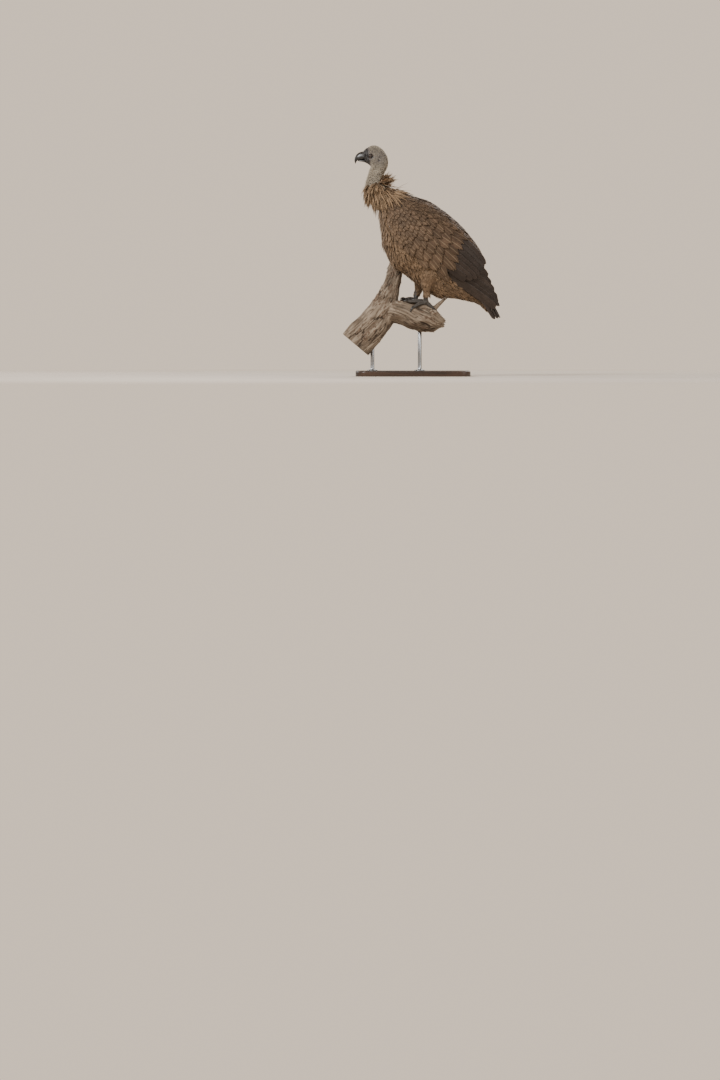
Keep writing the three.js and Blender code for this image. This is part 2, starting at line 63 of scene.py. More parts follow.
# Cross-sections, one to a row: x and z of the upper end, x and z of the lower end, half width,
# and how far the section is squared.
HEAD = [
    [-179, 520, -243, 525, 34, 1],
    [-167, 541, -240, 534, 34, 1],
    [-163, 562, -238, 541, 33, 1],
    [-167, 588, -237, 545, 33, 1],
    [-183, 614, -238, 548, 33.5, 1],
    [-204, 630, -242, 551, 33, 1],
    [-226, 634, -247, 555, 30, 1],
    [-249, 624, -253, 559.5, 22, 1],
    [-266, 609, -259, 563, 15.5, 1],
]
NECK = [
    [-179, 519.6, -243, 524.6, 34, 1],
    [-182, 499, -252, 495, 33, 1],
    [-178, 473, -257, 462, 36, 1],
    [-159, 457, -249, 420, 46, 1],
    [-127.3, 449.3, -210.3, 372.3, 58, 1],
]
TRUNK = [
    [-127, 449, -210, 372, 58, 1],
    [-62, 426, -199, 320, 88, 1],
    [-1, 406, -190, 262, 105, 1],
    [56, 370, -174, 202, 114, 1],
    [109, 325, -144, 141, 116, 1],
    [154, 279, -96, 108, 110, 1],
    [190, 228, -37, 58, 97, 1],
    [214, 168, 32, 15, 80, 1],
    [232, 104, 112, 5, 60, 1],
    [250, 42, 198, -14, 40, 1],
    [266, -8, 236, -44, 20, 1],
]
TRUNK_EGG = -0.08
FOLDED = [
    [-127, 449, -211, 372, 62, 1],
    [-62, 427, -199, 318, 96, 1],
    [0, 407, -190, 262, 116, 0.95],
    [58, 371, -173, 199, 127, 0.9],
    [112, 327, -143, 139, 130, 0.85],
    [157, 282, -98, 100, 125, 0.78],
    [194, 238, -35, 56, 113, 0.7],
    [222, 193, 40, 16, 96, 0.6],
    [242, 151, 110, -5, 79, 0.5],
    [254, 96, 160, -14, 64, 0.45],
    [277, 38, 200, -24, 52, 0.42],
    [298, -10, 240, -44, 44, 0.4],
]
BILL_UPPER = [
    [-267, 608.2, -262.4, 576, 14.5, 1],
    [-275, 606.5, -267, 575.2, 14, 1],
    [-285, 602.5, -275, 574, 12.8, 1],
    [-294, 594.5, -282, 573, 11, 1],
    [-300, 584, -288, 571, 8.4, 1],
    [-302, 573, -292.2, 567.5, 5.6, 1],
    [-300.5, 564, -295, 562.5, 3.2, 1],
    [-298, 557.5, -297.2, 557, 0.9, 1],
]
BILL_LOWER = [
    [-262.2, 576.3, -260.6, 563.4, 12.8, 1],
    [-267, 576.4, -267, 564.8, 12, 1],
    [-275, 575.6, -275, 566.2, 10.4, 1],
    [-282, 574.8, -282, 567.4, 8, 1],
    [-287.6, 572.4, -287, 569.2, 3, 1],
]
EYE = {"x": -236.0, "z": 589.0, "outward": 23.0, "radius": 9.2}

COVERTS = {
    "lower": [[-178, 318], [-142, 256], [-84, 202], [-12, 158], [60, 112]],
    "upper": [[-120, 426], [-60, 409], [0, 385], [64, 342], [122, 292]],
    "bow": 12,
}
BED = {
    "lower": [[-196, 318], [-152, 238], [-84, 180], [0, 122], [100, 62], [190, 0], [268, -58]],
    "upper": [[-122, 444], [-52, 420], [12, 392], [96, 332], [170, 264], [262, 152], [330, -10]],
}
SECONDARIES = {
    "bases": [[92, 306], [80, 276], [68, 248], [56, 222], [44, 196], [32, 176], [18, 160]],
    "tips": [[242, 157], [231, 134], [226, 112], [213, 96], [195, 86], [172, 80], [140, 82]],
    "count": 7,
    "bow": 6,
    "flat": 0.5,
}
PRIMARIES = {
    "bases": [[148, 192], [120, 174], [92, 150], [66, 128], [42, 110]],
    "tips": [[238, 108], [254, 76], [270, 47], [286, 16], [299, -14], [291, -27], [262, -38]],
    "count": 6,
    "bow": 5,
    "flat": 0.5,
}
# x and z of the middle, reach, and how far the tips stand out.
LOOSE_TUFTS = [(-184, 262, 16, 12), (2, 38, 15, 13), (-90, 128, 12, 4)]
# The part of the side view that the mantle leaves to the wing.
SHOULDER = [
    [-190, 300], [-124, 410], [-66, 394], [-8, 368], [52, 326],
    [108, 277], [160, 228], [206, 160], [150, 90], [0, 100],
]
# The part of the side view where the quills lie over everything else.
QUILLS = [
    [78, 300], [122, 284], [178, 238], [224, 186], [246, 148],
    [236, 108], [199, 85], [140, 82], [18, 160],
]
TAIL = {
    "root": [176, 92], "tip": [298, -73], "feathers": 7, "root_half": 30, "tip_half": 58,
    "arch": 28, "bow": 12, "shorter": 14,
}
THIGH = {
    "right": [[14, 54, 175], [-10, 54, 115], [-31, 50, 66], [-42, 46, 34]],
    "left": [[24, -54, 165], [8, -54, 105], [-4, -50, 60], [-7, -46, 28]],
}
THIGH_RADII = [46, 43, 27, 15.5]
TARSUS = {
    "right": [[-44, 46, 40], [-49, 38, 12], [-51, 32, -3]],
    "left": [[-7, -46, 34], [-9, -38, 8], [-10, -32, -8]],
}
TARSUS_RADII = [11.5, 9.6, 11.5]
TOES = [
    {"name": "inner", "turn": -26, "reach": 46, "radius": 8.4, "claw": 26},
    {"name": "middle", "turn": 2, "reach": 68, "radius": 8.4, "claw": 24},
    {"name": "outer", "turn": 28, "reach": 52, "radius": 7.4, "claw": 20},
    {"name": "hind", "turn": 176, "reach": 27, "radius": 8.2, "claw": 26},
]
TOE_LIFT = [[0, 1.1], [0.35, 1.45], [0.7, 1.1], [1, 0.8]]
BENT_TOE = {"reach": 46, "claw": 20, "lift": [[0, 1.1], [0.35, 2], [0.7, 1.7], [1, 0.8]]}
TOE_TAPER = [1, 1, 0.92, 0.7]
CLAW_LIFT = [[0.05, 0.8], [0.4, 1.15], [0.75, 0.9], [1, 0.25]]
CLAW_RADII = [5.2, 4.6, 3.2, 0.9]
LIMB = [
    [-296, 0, -184],
    [-228, 0, -103],
    [-183, 6, -33],
    [-159, 22, 26],
    [-143, 52, 80],
    [-129, 92, 138],
    [-120, 118, 178],
]
LIMB_RADII = [67, 65, 58, 41, 33, 30, 23]
STUB = [[-190, 0, -44], [-110, 0, -50], [-50, 0, -66], [0, 0, -77], [32, 0, -87], [58, 0, -93]]
STUB_TALL = [40, 49, 57, 56, 42, 21]
STUB_WIDE = [44, 58, 68, 70, 58, 28]
TWIG = [[6, -16, -55], [38, -18, -23], [64, -20, -1], [81, -21, 9]]
TWIG_RADII = [12, 9.5, 6, 2.4]
BASE = {"middle": -62, "underside": -312, "long": 470, "wide": 280, "thick": 22, "corner": 46}
RODS = {"front": {"x": -228, "top": -150}, "rear": {"x": -34, "top": -100}}
ROD_RADIUS = 8
SCREW_SIZE = 5.6
SCREW_CIRCLE = 16.6

# ---------------------------------------------------------------- curves and surfaces

HALVINGS = 26  # enough to find a place along a curve to well under a micrometre


def spline(points, u):
    """Smooth line through rows of numbers, at shares u of the way along. Past its ends it goes straight on."""
    rows = np.asarray(points, float)
    count = len(rows)
    u = np.asarray(u, float)
    inside = np.clip(u, 0, 1) * (count - 1)
    i = np.minimum(inside.astype(int), count - 2)
    w = (inside - i)[..., None]
    p0, p1, p2, p3 = rows[np.maximum(i - 1, 0)], rows[i], rows[i + 1], rows[np.minimum(i + 2, count - 1)]
    v0, v1 = (p2 - p0) / 2, (p3 - p1) / 2
    there = (2 * p1 - 2 * p2 + v0 + v1) * w**3 + (-3 * p1 + 3 * p2 - 2 * v0 - v1) * w**2 + v0 * w + p1
    before = np.minimum(u, 0)[..., None] * (rows[1] - rows[0]) * (count - 1)
    after = np.maximum(u - 1, 0)[..., None] * (rows[-1] - rows[-2]) * (count - 1)
    return there + before + after


def path(points, u):
    """Smooth space curve through points that bends evenly where they are unevenly spaced."""
    rows = np.asarray(points, float)
    count = len(rows)
    place = np.clip(np.asarray(u, float), 0, 1) * (count - 1)
    i = np.minimum(place.astype(int), count - 2)
    w = (place - i)[..., None]
    ends = np.vstack([2 * rows[0] - rows[1], rows, 2 * rows[-1] - rows[-2]])
    x0, x1, x2, x3 = ends[i], ends[i + 1], ends[i + 2], ends[i + 3]
    d0, d1, d2 = (np.sqrt(np.linalg.norm(b - a, axis=-1, keepdims=True)) for a, b in ((x0, x1), (x1, x2), (x2, x3)))
    t1 = ((x1 - x0) / d0 - (x2 - x0) / (d0 + d1) + (x2 - x1) / d1) * d1
    t2 = ((x2 - x1) / d1 - (x3 - x1) / (d1 + d2) + (x3 - x2) / d2) * d1
    return x1 + t1 * w + (-3 * x1 + 3 * x2 - 2 * t1 - t2) * w**2 + (2 * x1 - 2 * x2 + t1 + t2) * w**3


def scalars(values, u):
    return spline(np.asarray(values, float)[:, None], u)[..., 0]


def norm(v):
    return np.linalg.norm(v, axis=-1)


def line_length(points):
    return norm(np.diff(np.asarray(points, float), axis=0)).sum()


def unit(v):
    return v / np.maximum(np.linalg.norm(v, axis=-1, keepdims=True), 1e-12)


def smooth(low, high, x):
    t = np.clip((x - low) / (high - low), 0, 1)
    return t * t * (3 - 2 * t)


def turns(count):
    """Even angles round a full turn."""
    return np.linspace(0, 2 * np.pi, count, endpoint=False)


def grid(rows, columns):
    return np.meshgrid(rows, columns, indexing="ij")


def middle_and_up(row):
    """The middle of a cross-section, and the way from there to its upper end."""
    return (row[..., 0:2] + row[..., 2:4]) / 2, (row[..., 0:2] - row[..., 2:4]) / 2


def on_form(table, egg=0.0, grow=0.0):
    """The surface of a table of cross-sections, as a function of the share along and the angle from the top."""

    def surface(u, angle):
        row = spline(table, u)
        more = grow(u) if callable(grow) else grow
        middle, up = middle_and_up(row)
        up = up * (1 + more / np.linalg.norm(up, axis=-1))[..., None]
        level, side = np.cos(angle), np.sin(angle)
        y = np.sign(side) * np.abs(side) ** row[..., 5] * (row[..., 4] + more) * (1 + egg * level)
        flat = middle + up * level[..., None]
        return np.stack([flat[..., 0], y, flat[..., 1]], -1)

    return surface


def on_limb(points, wide, tall=None, grow=0.0, turn=None):
    """The surface of a round or oval limb along a path. Turn starts the ridges of weathered wood."""
    tall = wide if tall is None else tall
    reach = line_length(points)

    def surface(u, angle):
        u = np.asarray(u, float)
        inside = np.clip(u, 0, 1)
        ahead = unit(path(points, inside + 1e-3) - path(points, inside - 1e-3))
        across = np.zeros_like(ahead)
        across[..., 1] = 1
        across = unit(across - ahead * ahead[..., 1:2])
        up = np.cross(across, ahead)
        centre = path(points, u) + ahead * ((u - inside) * reach)[..., None]
        scale = 1.0
        if turn is not None:
            drift = 9 * u + turn
            scale = 1 + 0.05 * np.sin(3 * angle + drift) + 0.03 * np.sin(5 * angle - 2 * drift)
            scale = scale + 0.02 * np.sin(8 * angle + 3 * drift)
        sideways = np.cos(angle) * (scalars(wide, inside) * scale + grow)
        upwards = np.sin(angle) * (scalars(tall, inside) * scale + grow)
        return centre + across * sideways[..., None] + up * upwards[..., None]

    return surface


def frame_on(surface, u, angle):
    """Point, outward normal, and the derivatives along and around, at places on a surface."""
    e, f = 1e-3, 4e-3
    here = surface(u, angle)
    along = (surface(u + e, angle) - surface(u - e, angle)) / (2 * e)
    around = (surface(u, angle + f) - surface(u, angle - f)) / (2 * f)
    normal = unit(np.cross(along, around))
    return here, normal, along, around


def where_passed(short, like):
    """The share along at which a test stops being true, by halving."""
    before, after = np.zeros_like(like), np.ones_like(like)
    for _ in range(HALVINGS):
        u = (before + after) / 2
        test = short(u)
        before, after = np.where(test, u, before), np.where(test, after, u)
    return before


def folded_place(x, z):
    """The shares along and up at which a spot of the side view lies on the folded wings' surface."""

    def parts(u):
        """The way across the section at u, and the spot's offset from the section's lower end."""
        row = spline(FOLDED, u)
        return row[..., 0:2] - row[..., 2:4], x - row[..., 2], z - row[..., 3]

    def short(u):
        across, dx, dz = parts(u)
        return across[..., 0] * dz - across[..., 1] * dx < 0

    u = where_passed(short, x)
    across, dx, dz = parts(u)
    return u, np.clip((dx * across[..., 0] + dz * across[..., 1]) / (across**2).sum(-1), 0, 1)


def on_folded(side, x, z, depth, flat=0.0):
    """The point of one side's folded surface that shows at (x, z), moved inwards by a depth.

    Flat keeps it out from the middle by a share of the half width.
    """
    u, share = folded_place(x, z)
    row = spline(FOLDED, u)
    across = row[..., 0:2] - row[..., 2:4]
    level = 2 * share - 1
    full = np.sqrt(1 - level**2) ** row[..., 5] * (row[..., 4] - depth)
    least = np.maximum(flat * (row[..., 4] - depth), 4.0)
    blend = np.clip(0.5 + (full - least) / (0.7 * least), 0, 1)
    y = toward(least, full, blend) + 0.35 * least * blend * (1 - blend)
    inward = unit(across) * (level * depth * (1 - 0.5 * flat))[..., None]
    return np.stack([x - inward[..., 0], side * y, z - inward[..., 1]], -1)


def noise(points, seed=0):
    """Smooth noise from -1 to 1 at points in space."""
    cell = np.floor(points).astype(np.int64)
    part = points - cell
    part = part**3 * (part * (part * 6 - 15) + 10)
    total = np.zeros(points.shape[:-1])
    for corner in itertools.product((0, 1), repeat=3):
        c = cell + corner
        h = (c[..., 0] * 73856093) ^ (c[..., 1] * 19349663) ^ (c[..., 2] * 83492791) ^ (seed * 2654435761)
        h = ((h ^ (h >> 13)) * 1274126177) & 0xFFFFFFFF
        h ^= h >> 16
        weight = np.prod(np.where(np.array(corner) == 1, part, 1 - part), axis=-1)
        total += ((h & 0xFFFF) / 32767.5 - 1) * weight
    return total


def layered(points, seed=0, layers=3):
    return sum(noise(points * 2**k, seed + k) / 2**k for k in range(layers)) / 1.6


# ---------------------------------------------------------------- meshes


def packed(points):
    """From the bird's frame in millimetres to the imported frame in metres."""
    return (np.asarray(points) + ORIGIN) * MM


def read(items, name, width=1, kind=np.float32):
    """One property of all of a mesh's points, corners, edges or faces, as an array."""
    values = np.zeros(len(items) * width, kind)
    items.foreach_get(name, values)
    return values.reshape(-1, width) if width > 1 else values


def write(items, name, values, kind=np.float32):
    items.foreach_set(name, np.asarray(values, kind).ravel())


def mark(mesh, label, values):
    """Keeps a number or a vector for every point of a mesh."""
    values = np.asarray(values, np.float32)
    kind, field = ("FLOAT", "value") if values.ndim == 1 else ("FLOAT_VECTOR", "vector")
    write(mesh.attributes.new(label, kind, "POINT").data, field, values)


def placed(name, data):
    """A new object that stands in the scene."""
    made = bpy.data.objects.new(name, data)
    bpy.context.scene.collection.objects.link(made)
    return made


def discard(made):
    data = made.data
    bpy.data.objects.remove(made)
    bpy.data.meshes.remove(data)


def mesh_object(name, points, faces, material=None):
    mesh = bpy.data.meshes.new(name)
    mesh.from_pydata(packed(points).tolist(), [], faces)
    return finished_mesh(name, mesh, material)


def quick_mesh(name, points, corners, sizes):
    """A mesh from arrays: points, the corners of all faces in one row, and each face's number of corners."""
    mesh = bpy.data.meshes.new(name)
    mesh.vertices.add(len(points))
    write(mesh.vertices, "co", packed(points))
    mesh.loops.add(len(corners))
    write(mesh.loops, "vertex_index", corners, np.int32)
    mesh.polygons.add(len(sizes))
    write(mesh.polygons, "loop_start", np.concatenate([[0], np.cumsum(sizes)[:-1]]), np.int32)
    mesh.update(calc_edges=True)
    return mesh


def finished_mesh(name, mesh, material=None, smooth_faces=True):
    write(mesh.polygons, "use_smooth", np.full(len(mesh.polygons), smooth_faces), bool)
    if material:
        mesh.materials.append(material)
    mesh.validate()
    mesh.update()
    return placed(name, mesh)


def grid_body(rings):
    """Points and faces of a closed body from rings of points, as an array of rings by points by 3."""
    rows, around = rings.shape[:2]
    points = np.vstack([rings.reshape(-1, 3), rings[0].mean(0), rings[-1].mean(0)])
    i, j = grid(np.arange(rows - 1), np.arange(around))
    a, b = i * around + j, i * around + (j + 1) % around
    sides = np.stack([a, b, b + around, a + around], -1).reshape(-1, 4).tolist()
    first, last, base = rows * around, rows * around + 1, (rows - 1) * around
    loop = [(p, (p + 1) % around) for p in range(around)]
    ends = [(q, p, first) for p, q in loop] + [(base + p, base + q, last) for p, q in loop]
    return turned_out(points, sides + ends)


def turned_out(points, faces):
    """The body with its faces pointing outwards, judged by the volume they shut in."""
    volume, middle = 0.0, points.mean(0)
    for f in faces[:: max(1, len(faces) // 4000)]:
        a, b, c = points[f[0]], points[f[1]], points[f[2]]
        volume += float(np.dot(a - middle, np.cross(b - middle, c - middle)))
    return points, [f[::-1] for f in faces] if volume < 0 else faces


def body_of_surface(surface, around, along, ends=(0.0, 1.0)):
    return grid_body(surface(*grid(np.linspace(*ends, along), turns(around))))


def sheet_body(outer, inner):
    """A closed thin body between two grids of points with the same rows and columns."""
    rows, columns = outer.shape[:2]
    points = np.vstack([outer.reshape(-1, 3), inner.reshape(-1, 3)])
    at = lambda face, i, j: (face * rows + i) * columns + j
    faces, last, edge = [], rows - 1, columns - 1
    for i in range(last):
        for j in range(edge):
            faces.append((at(0, i, j), at(0, i, j + 1), at(0, i + 1, j + 1), at(0, i + 1, j)))
            faces.append((at(1, i + 1, j), at(1, i + 1, j + 1), at(1, i, j + 1), at(1, i, j)))
    for i in range(last):
        faces.append((at(0, i, 0), at(0, i + 1, 0), at(1, i + 1, 0), at(1, i, 0)))
        faces.append((at(1, i, edge), at(1, i + 1, edge), at(0, i + 1, edge), at(0, i, edge)))
    for j in range(edge):
        faces.append((at(1, 0, j), at(1, 0, j + 1), at(0, 0, j + 1), at(0, 0, j)))
        faces.append((at(0, last, j), at(0, last, j + 1), at(1, last, j + 1), at(1, last, j)))
    return turned_out(points, faces)


def merged(bodies):
    points, faces, offset = [], [], 0
    for body_points, body_faces in bodies:
        points.append(body_points)
        faces += [tuple(i + offset for i in f) for f in body_faces]
        offset += len(body_points)
    return np.vstack(points), faces


def evaluated(made, name):
    """The object's mesh with its modifiers applied, in its place; the object itself goes."""
    graph = bpy.context.evaluated_depsgraph_get()
    mesh = bpy.data.meshes.new_from_object(made.evaluated_get(graph), depsgraph=graph)
    mesh.name = name
    discard(made)
    return mesh


def remeshed(name, bodies, voxel, rounding):
    """One closed skin over overlapping bodies, in millimetres."""
    made = mesh_object(name, *merged(bodies))
    modifier = made.modifiers.new("skin", "REMESH")
    modifier.mode, modifier.voxel_size = "VOXEL", voxel * MM
    modifier = made.modifiers.new("round", "SMOOTH")
    modifier.factor, modifier.iterations = 0.5, rounding
    return evaluated(made, name)


def points_of(mesh):
    return read(mesh.vertices, "co", 3).astype(float) / MM - ORIGIN


def set_points(mesh, points):
    write(mesh.vertices, "co", packed(points))
    mesh.update()


def normals_of(mesh):
    return read(mesh.vertex_normals, "vector", 3).astype(float)


def settle(made, slot, *nodes):
    """Hangs a finished piece on the body and hides the packed parts it stands in for."""
    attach(made, BODY)
    if nodes:
        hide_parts(*nodes)
    return made


# ---------------------------------------------------------------- feet and the wood under them


def stub_top(x, y):
    """Height of the stub's upper side at (x, y)."""
    u = where_passed(lambda u: path(STUB, u)[..., 0] < x, x)
    level = np.sqrt(np.maximum(0, 1 - (y / scalars(STUB_WIDE, u)) ** 2))
    return path(STUB, u)[..., 2] + scalars(STUB_TALL, u) * level


def over_branch(side, ankle, turn, places):
    heading = math.radians(turn)
    reach, height = np.array(places, float).T
    x = ankle[0] - math.cos(heading) * reach
    y = ankle[1] + side * math.sin(heading) * reach
    return np.stack([x, y, stub_top(x, y) + height], -1)


def toe_lines(side_name):
    """Each toe's and claw's path and radii on one foot."""
    side, ankle = SIDES[side_name], TARSUS[side_name][-1]
    for toe in TOES:
        bent = BENT_TOE if side_name == "right" and toe["name"] == "middle" else {}
        toe = {"lift": TOE_LIFT, **toe, **bent}
        line = over_branch(side, ankle, toe["turn"], [(s * toe["reach"], h * toe["radius"]) for s, h in toe["lift"]])
        claw_places = [(toe["reach"] + s * toe["claw"], h * toe["radius"]) for s, h in CLAW_LIFT]
        claw = over_branch(side, ankle, toe["turn"], claw_places)
        yield toe["name"], line, [r * toe["radius"] for r in TOE_TAPER], claw


# ---------------------------------------------------------------- where each place of the skin lies on its unwrap

# Each form of the skin has its own rectangle of the unwrap: left, bottom, width, height.
PATCHES = {
    "trunk": (0.02, 0.02, 0.56, 0.96),
    "head": (0.62, 0.60, 0.36, 0.38),
    "neck": (0.62, 0.32, 0.36, 0.26),
    "thigh_left": (0.62, 0.17, 0.17, 0.13),
    "thigh_right": (0.81, 0.17, 0.17, 0.13),
    "tarsus_left": (0.62, 0.11, 0.17, 0.05),
    "tarsus_right": (0.81, 0.11, 0.17, 0.05),
}
TOE_PATCH = (0.62, 0.02, 0.04, 0.08)


def skin_tubes():
    """Each tube of the skin: its name, and either its cross-sections or its middle line and radii."""
    share = np.linspace(0, 1, 60)
    tubes = [(name, spline(table, share), None) for name, table in (("head", HEAD), ("neck", NECK), ("trunk", TRUNK))]
    for side_name in SIDES:
        tubes.append(("thigh_" + side_name, THIGH[side_name], THIGH_RADII))
        tubes.append(("tarsus_" + side_name, TARSUS[side_name], TARSUS_RADII))
        tubes += [(f"toe_{side_name}_{toe}", line, radii) for toe, line, radii, _ in toe_lines(side_name)]
    return tubes


def tube_place(points, tube):
    """How far from a tube's middle line each point is in radii, its share along, and its angle."""
    _, rows, radii = tube
    if radii is None:
        middle, up = middle_and_up(rows)
        flat = points[:, [0, 2]][:, None, :] - middle[None]
        size = (up**2).sum(-1)
        level = (flat * up[None]).sum(-1) / size
        off = np.abs(flat[..., 0] * up[None, :, 1] - flat[..., 1] * up[None, :, 0]) / np.sqrt(size)
        best = np.argmin(off + np.maximum(np.abs(level) - 1.2, 0) * 200, axis=1)
        pick = np.arange(len(points)), best
        y = points[:, 1] / rows[best, 4]
        share = best / (len(rows) - 1)
        return np.hypot(level[pick], y) + off[pick] / 20, share, np.arctan2(y, level[pick])
    samples = np.linspace(0, 1, 40)
    centre, reach = path(rows, samples), scalars(radii, samples)
    off = np.linalg.norm(points[:, None] - centre[None], axis=-1) / reach[None]
    best = np.argmin(off, axis=1)
    ahead = unit(np.gradient(centre, axis=0))[best]
    across = unit(np.array([0.0, 1.0, 0.0]) - ahead * ahead[:, 1:2])
    arm = points - centre[best]
    angle = np.arctan2((arm * np.cross(across, ahead)).sum(-1), (arm * across).sum(-1))
    return off[np.arange(len(points)), best], samples[best], angle


def tube_places(points, tube):
    """The same for many points, a few thousand at a time."""
    parts = np.array_split(points, max(1, len(points) // 4000))
    return np.concatenate([np.stack(tube_place(part, tube)) for part in parts], axis=1)


def unwrapped(tubes, points, chosen=None):
    """The tube that each point belongs to, with its share along and angle on that tube."""
    nearest = np.full(len(points), np.inf)
    share, angle = np.zeros(len(points)), np.zeros(len(points))
    best = np.zeros(len(points), int)
    for i, tube in enumerate(tubes):
        low, high = tube_box(tube)
        near = ((points > low) & (points < high)).all(-1) if chosen is None else chosen == i
        if not near.any():
            continue
        off, along, turn = tube_places(points[near], tube)
        better = near.copy()
        if chosen is None:
            better[near] = off < nearest[near]
        pick = better[near]
        best[better], nearest[better], share[better], angle[better] = i, off[pick], along[pick], turn[pick]
    return best, share, angle


def tube_box(tube):
    _, rows, radii = tube
    if radii is None:
        x, z = np.concatenate([rows[:, [0, 1]], rows[:, [2, 3]]]).T
        wide = rows[:, 4].max() + 30
        return np.array([x.min() - 30, -wide, z.min() - 30]), np.array([x.max() + 30, wide, z.max() + 30])
    rows = np.asarray(rows, float)
    return rows.min(0) - 1.6 * max(radii), rows.max(0) + 1.6 * max(radii)


def patch_of(tubes):
    rects, toes = [], 0
    for name, *_ in tubes:
        if name in PATCHES:
            rects.append(PATCHES[name])
        else:
            left, bottom, width, height = TOE_PATCH
            rects.append((left + toes * width * 1.1, bottom, width, height))
            toes += 1
    return np.array(rects)


def bake_places(points):
    """Where points of the skin lie on its unwrap."""
    tubes = skin_tubes()
    chosen, share, angle = unwrapped(tubes, points)
    rects = patch_of(tubes)[chosen]
    return rects[:, :2] + rects[:, 2:] * np.stack([angle / (2 * np.pi) + 0.5, share], -1)


def unwrap_skin(mesh):
    """Gives a skin its OFBake map: every tube is cut along its back and laid flat in its own rectangle."""
    points, tubes = points_of(mesh), skin_tubes()
    corners = read(mesh.loops, "vertex_index", kind=np.int32)
    totals = read(mesh.polygons, "loop_total", kind=np.int32)
    face_of = np.repeat(np.arange(len(totals)), totals)
    centres = np.zeros((len(totals), 3))
    np.add.at(centres, face_of, points[corners])
    chosen, _, middle = unwrapped(tubes, centres / totals[:, None])
    chosen, middle = chosen[face_of], middle[face_of]
    _, share, angle = unwrapped(tubes, points[corners], chosen)
    # All corners of a face go to the same side of the cut.
    angle = angle + 2 * np.pi * np.round((middle - angle) / (2 * np.pi))
    rects = patch_of(tubes)[chosen]
    place = rects[:, :2] + rects[:, 2:] * np.stack([angle / (2 * np.pi) * 0.94 + 0.5, share], -1)
    write(mesh.uv_layers.new(name="OFBake").data, "uv", place)


# ---------------------------------------------------------------- the skin


def ridge(distance, width):
    return np.exp(-((distance / width) ** 2))


def toward(value, goal, share):
    return value + (goal - value) * share


def sculpt_head(points):
    """Lids, brow, cere, nostrils, gape and ears, and a slimmer neck, as moves of a dense head's points."""
    p = points.copy()
    x, z = p[:, 0], p[:, 2]
    p[:, 1] *= 1 - 0.15 * smooth(566, 528, z) * smooth(462, 500, z) - 0.10 * smooth(604, 634, z) * smooth(-262, -240, x)
    side = np.sign(p[:, 1])
    y = np.abs(p[:, 1])
    flank = smooth(12, 19, y)
    # The orbit: a shallow hollow under a brow that overhangs the eye.
    dx, dz = x - EYE["x"], z - EYE["z"]
    long, tall = dx * 0.985 - dz * 0.17, dz * 0.985 + dx * 0.17
    around = np.hypot(dx, dz)
    y -= 2.1 * ridge(around - 11.5, 4.0) * smooth(9, -6, tall) * flank
    brow = ridge(tall - 9.4 + 0.02 * long**2, 3.0) * smooth(17, 8, np.abs(long + 1)) * flank
    y += 2.3 * brow
    # The lids close over the ball and leave an almond opening.
    opening = np.hypot(long / 7.3, tall / 6.1)
    ball = EYE["outward"] + np.sqrt(np.maximum(EYE["radius"] ** 2 - around**2, 4.0))
    lid = ball + 1.15 + 0.5 * smooth(0, 5, tall)
    y = np.where(flank > 0, toward(y, lid, smooth(1.75, 1.22, opening) * flank), y)
    y = np.where(flank > 0, toward(y, ball - 2.2, smooth(1.04, 0.9, opening) * flank), y)
    y -= 0.55 * ridge(opening - 1.62, 0.11) * flank * smooth(20, 10, around)
    # Fine creases run out from the corners of the eye.
    turn = np.arctan2(tall, long)
    y -= 0.3 * (0.5 + 0.5 * np.cos(turn * 17)) * ridge(opening - 2.0, 0.33) * flank
    # The cere stands a little proud of the forehead's skin, behind a groove.
    front = x + 0.16 * (z - 590)
    p[:, 1] = side * y
    centre_z = 588
    outward = unit(np.stack([np.zeros_like(x), p[:, 1], (z - centre_z) * 0.9], -1))
    cere = smooth(-244.5, -246.5, front) * 0.75 - 0.85 * ridge(front + 243.2, 1.3)
    p += outward * (cere * smooth(556, 566, z))[:, None]
    y, side = np.abs(p[:, 1]), np.sign(p[:, 1])
    # Nostrils are upright slits in the cere.
    nx, nz = x + 257.2, z - 591.5
    slit = np.hypot((nx - nz * 0.18) / 1.9, nz / 4.7)
    y -= 3.6 * smooth(1.25, 0.55, slit)
    y += 0.5 * ridge(slit - 1.5, 0.35)
    # The gape runs back from the bill to below the eye.
    along = smooth(-263, -236, x)
    gape = z - (575.4 - 3.4 * along - 1.4 * along**2)
    reach = smooth(-231.5, -235.5, x)
    y -= 1.9 * ridge(gape, 1.05) * reach * smooth(5, 9, y)
    y += 0.6 * (ridge(gape - 2.6, 1.5) + ridge(gape + 2.6, 1.5)) * reach * smooth(5, 9, y)
    # The ear is a small open pit behind and below the eye.
    ear = np.hypot((x + 203.5) / 3.1, (z - 571.5) / 4.3)
    y -= 4.2 * smooth(1.2, 0.45, ear) * (y > 12)
    y += 0.8 * ridge(ear - 1.45, 0.4) * (y > 12)
    p[:, 1] = side * y
    return p


def skin_folds(points, normals):
    """Loose folds across the neck and under the throat, and a slight wrinkling of the whole head."""
    x, y, z = points.T
    down = smooth(560, 525, z)
    wave = noise(np.stack([x / 17, y / 17, z / 5.2], -1), 3) + 0.5 * noise(np.stack([x / 9, y / 9, z / 3.1], -1), 4)
    folds = -1.25 * ridge(wave, 0.22) * down
    throat = smooth(-222, -240, x) * smooth(585, 560, z) * smooth(480, 520, z)
    folds += -0.9 * ridge(np.sin(y * 0.72 + 2.4 * noise(points / 21, 5)), 0.35) * throat
    crown = smooth(-250, -235, x)
    folds += 0.35 * layered(points / 4.2, 7, 2) * crown
    return points + normals * folds[:, None]


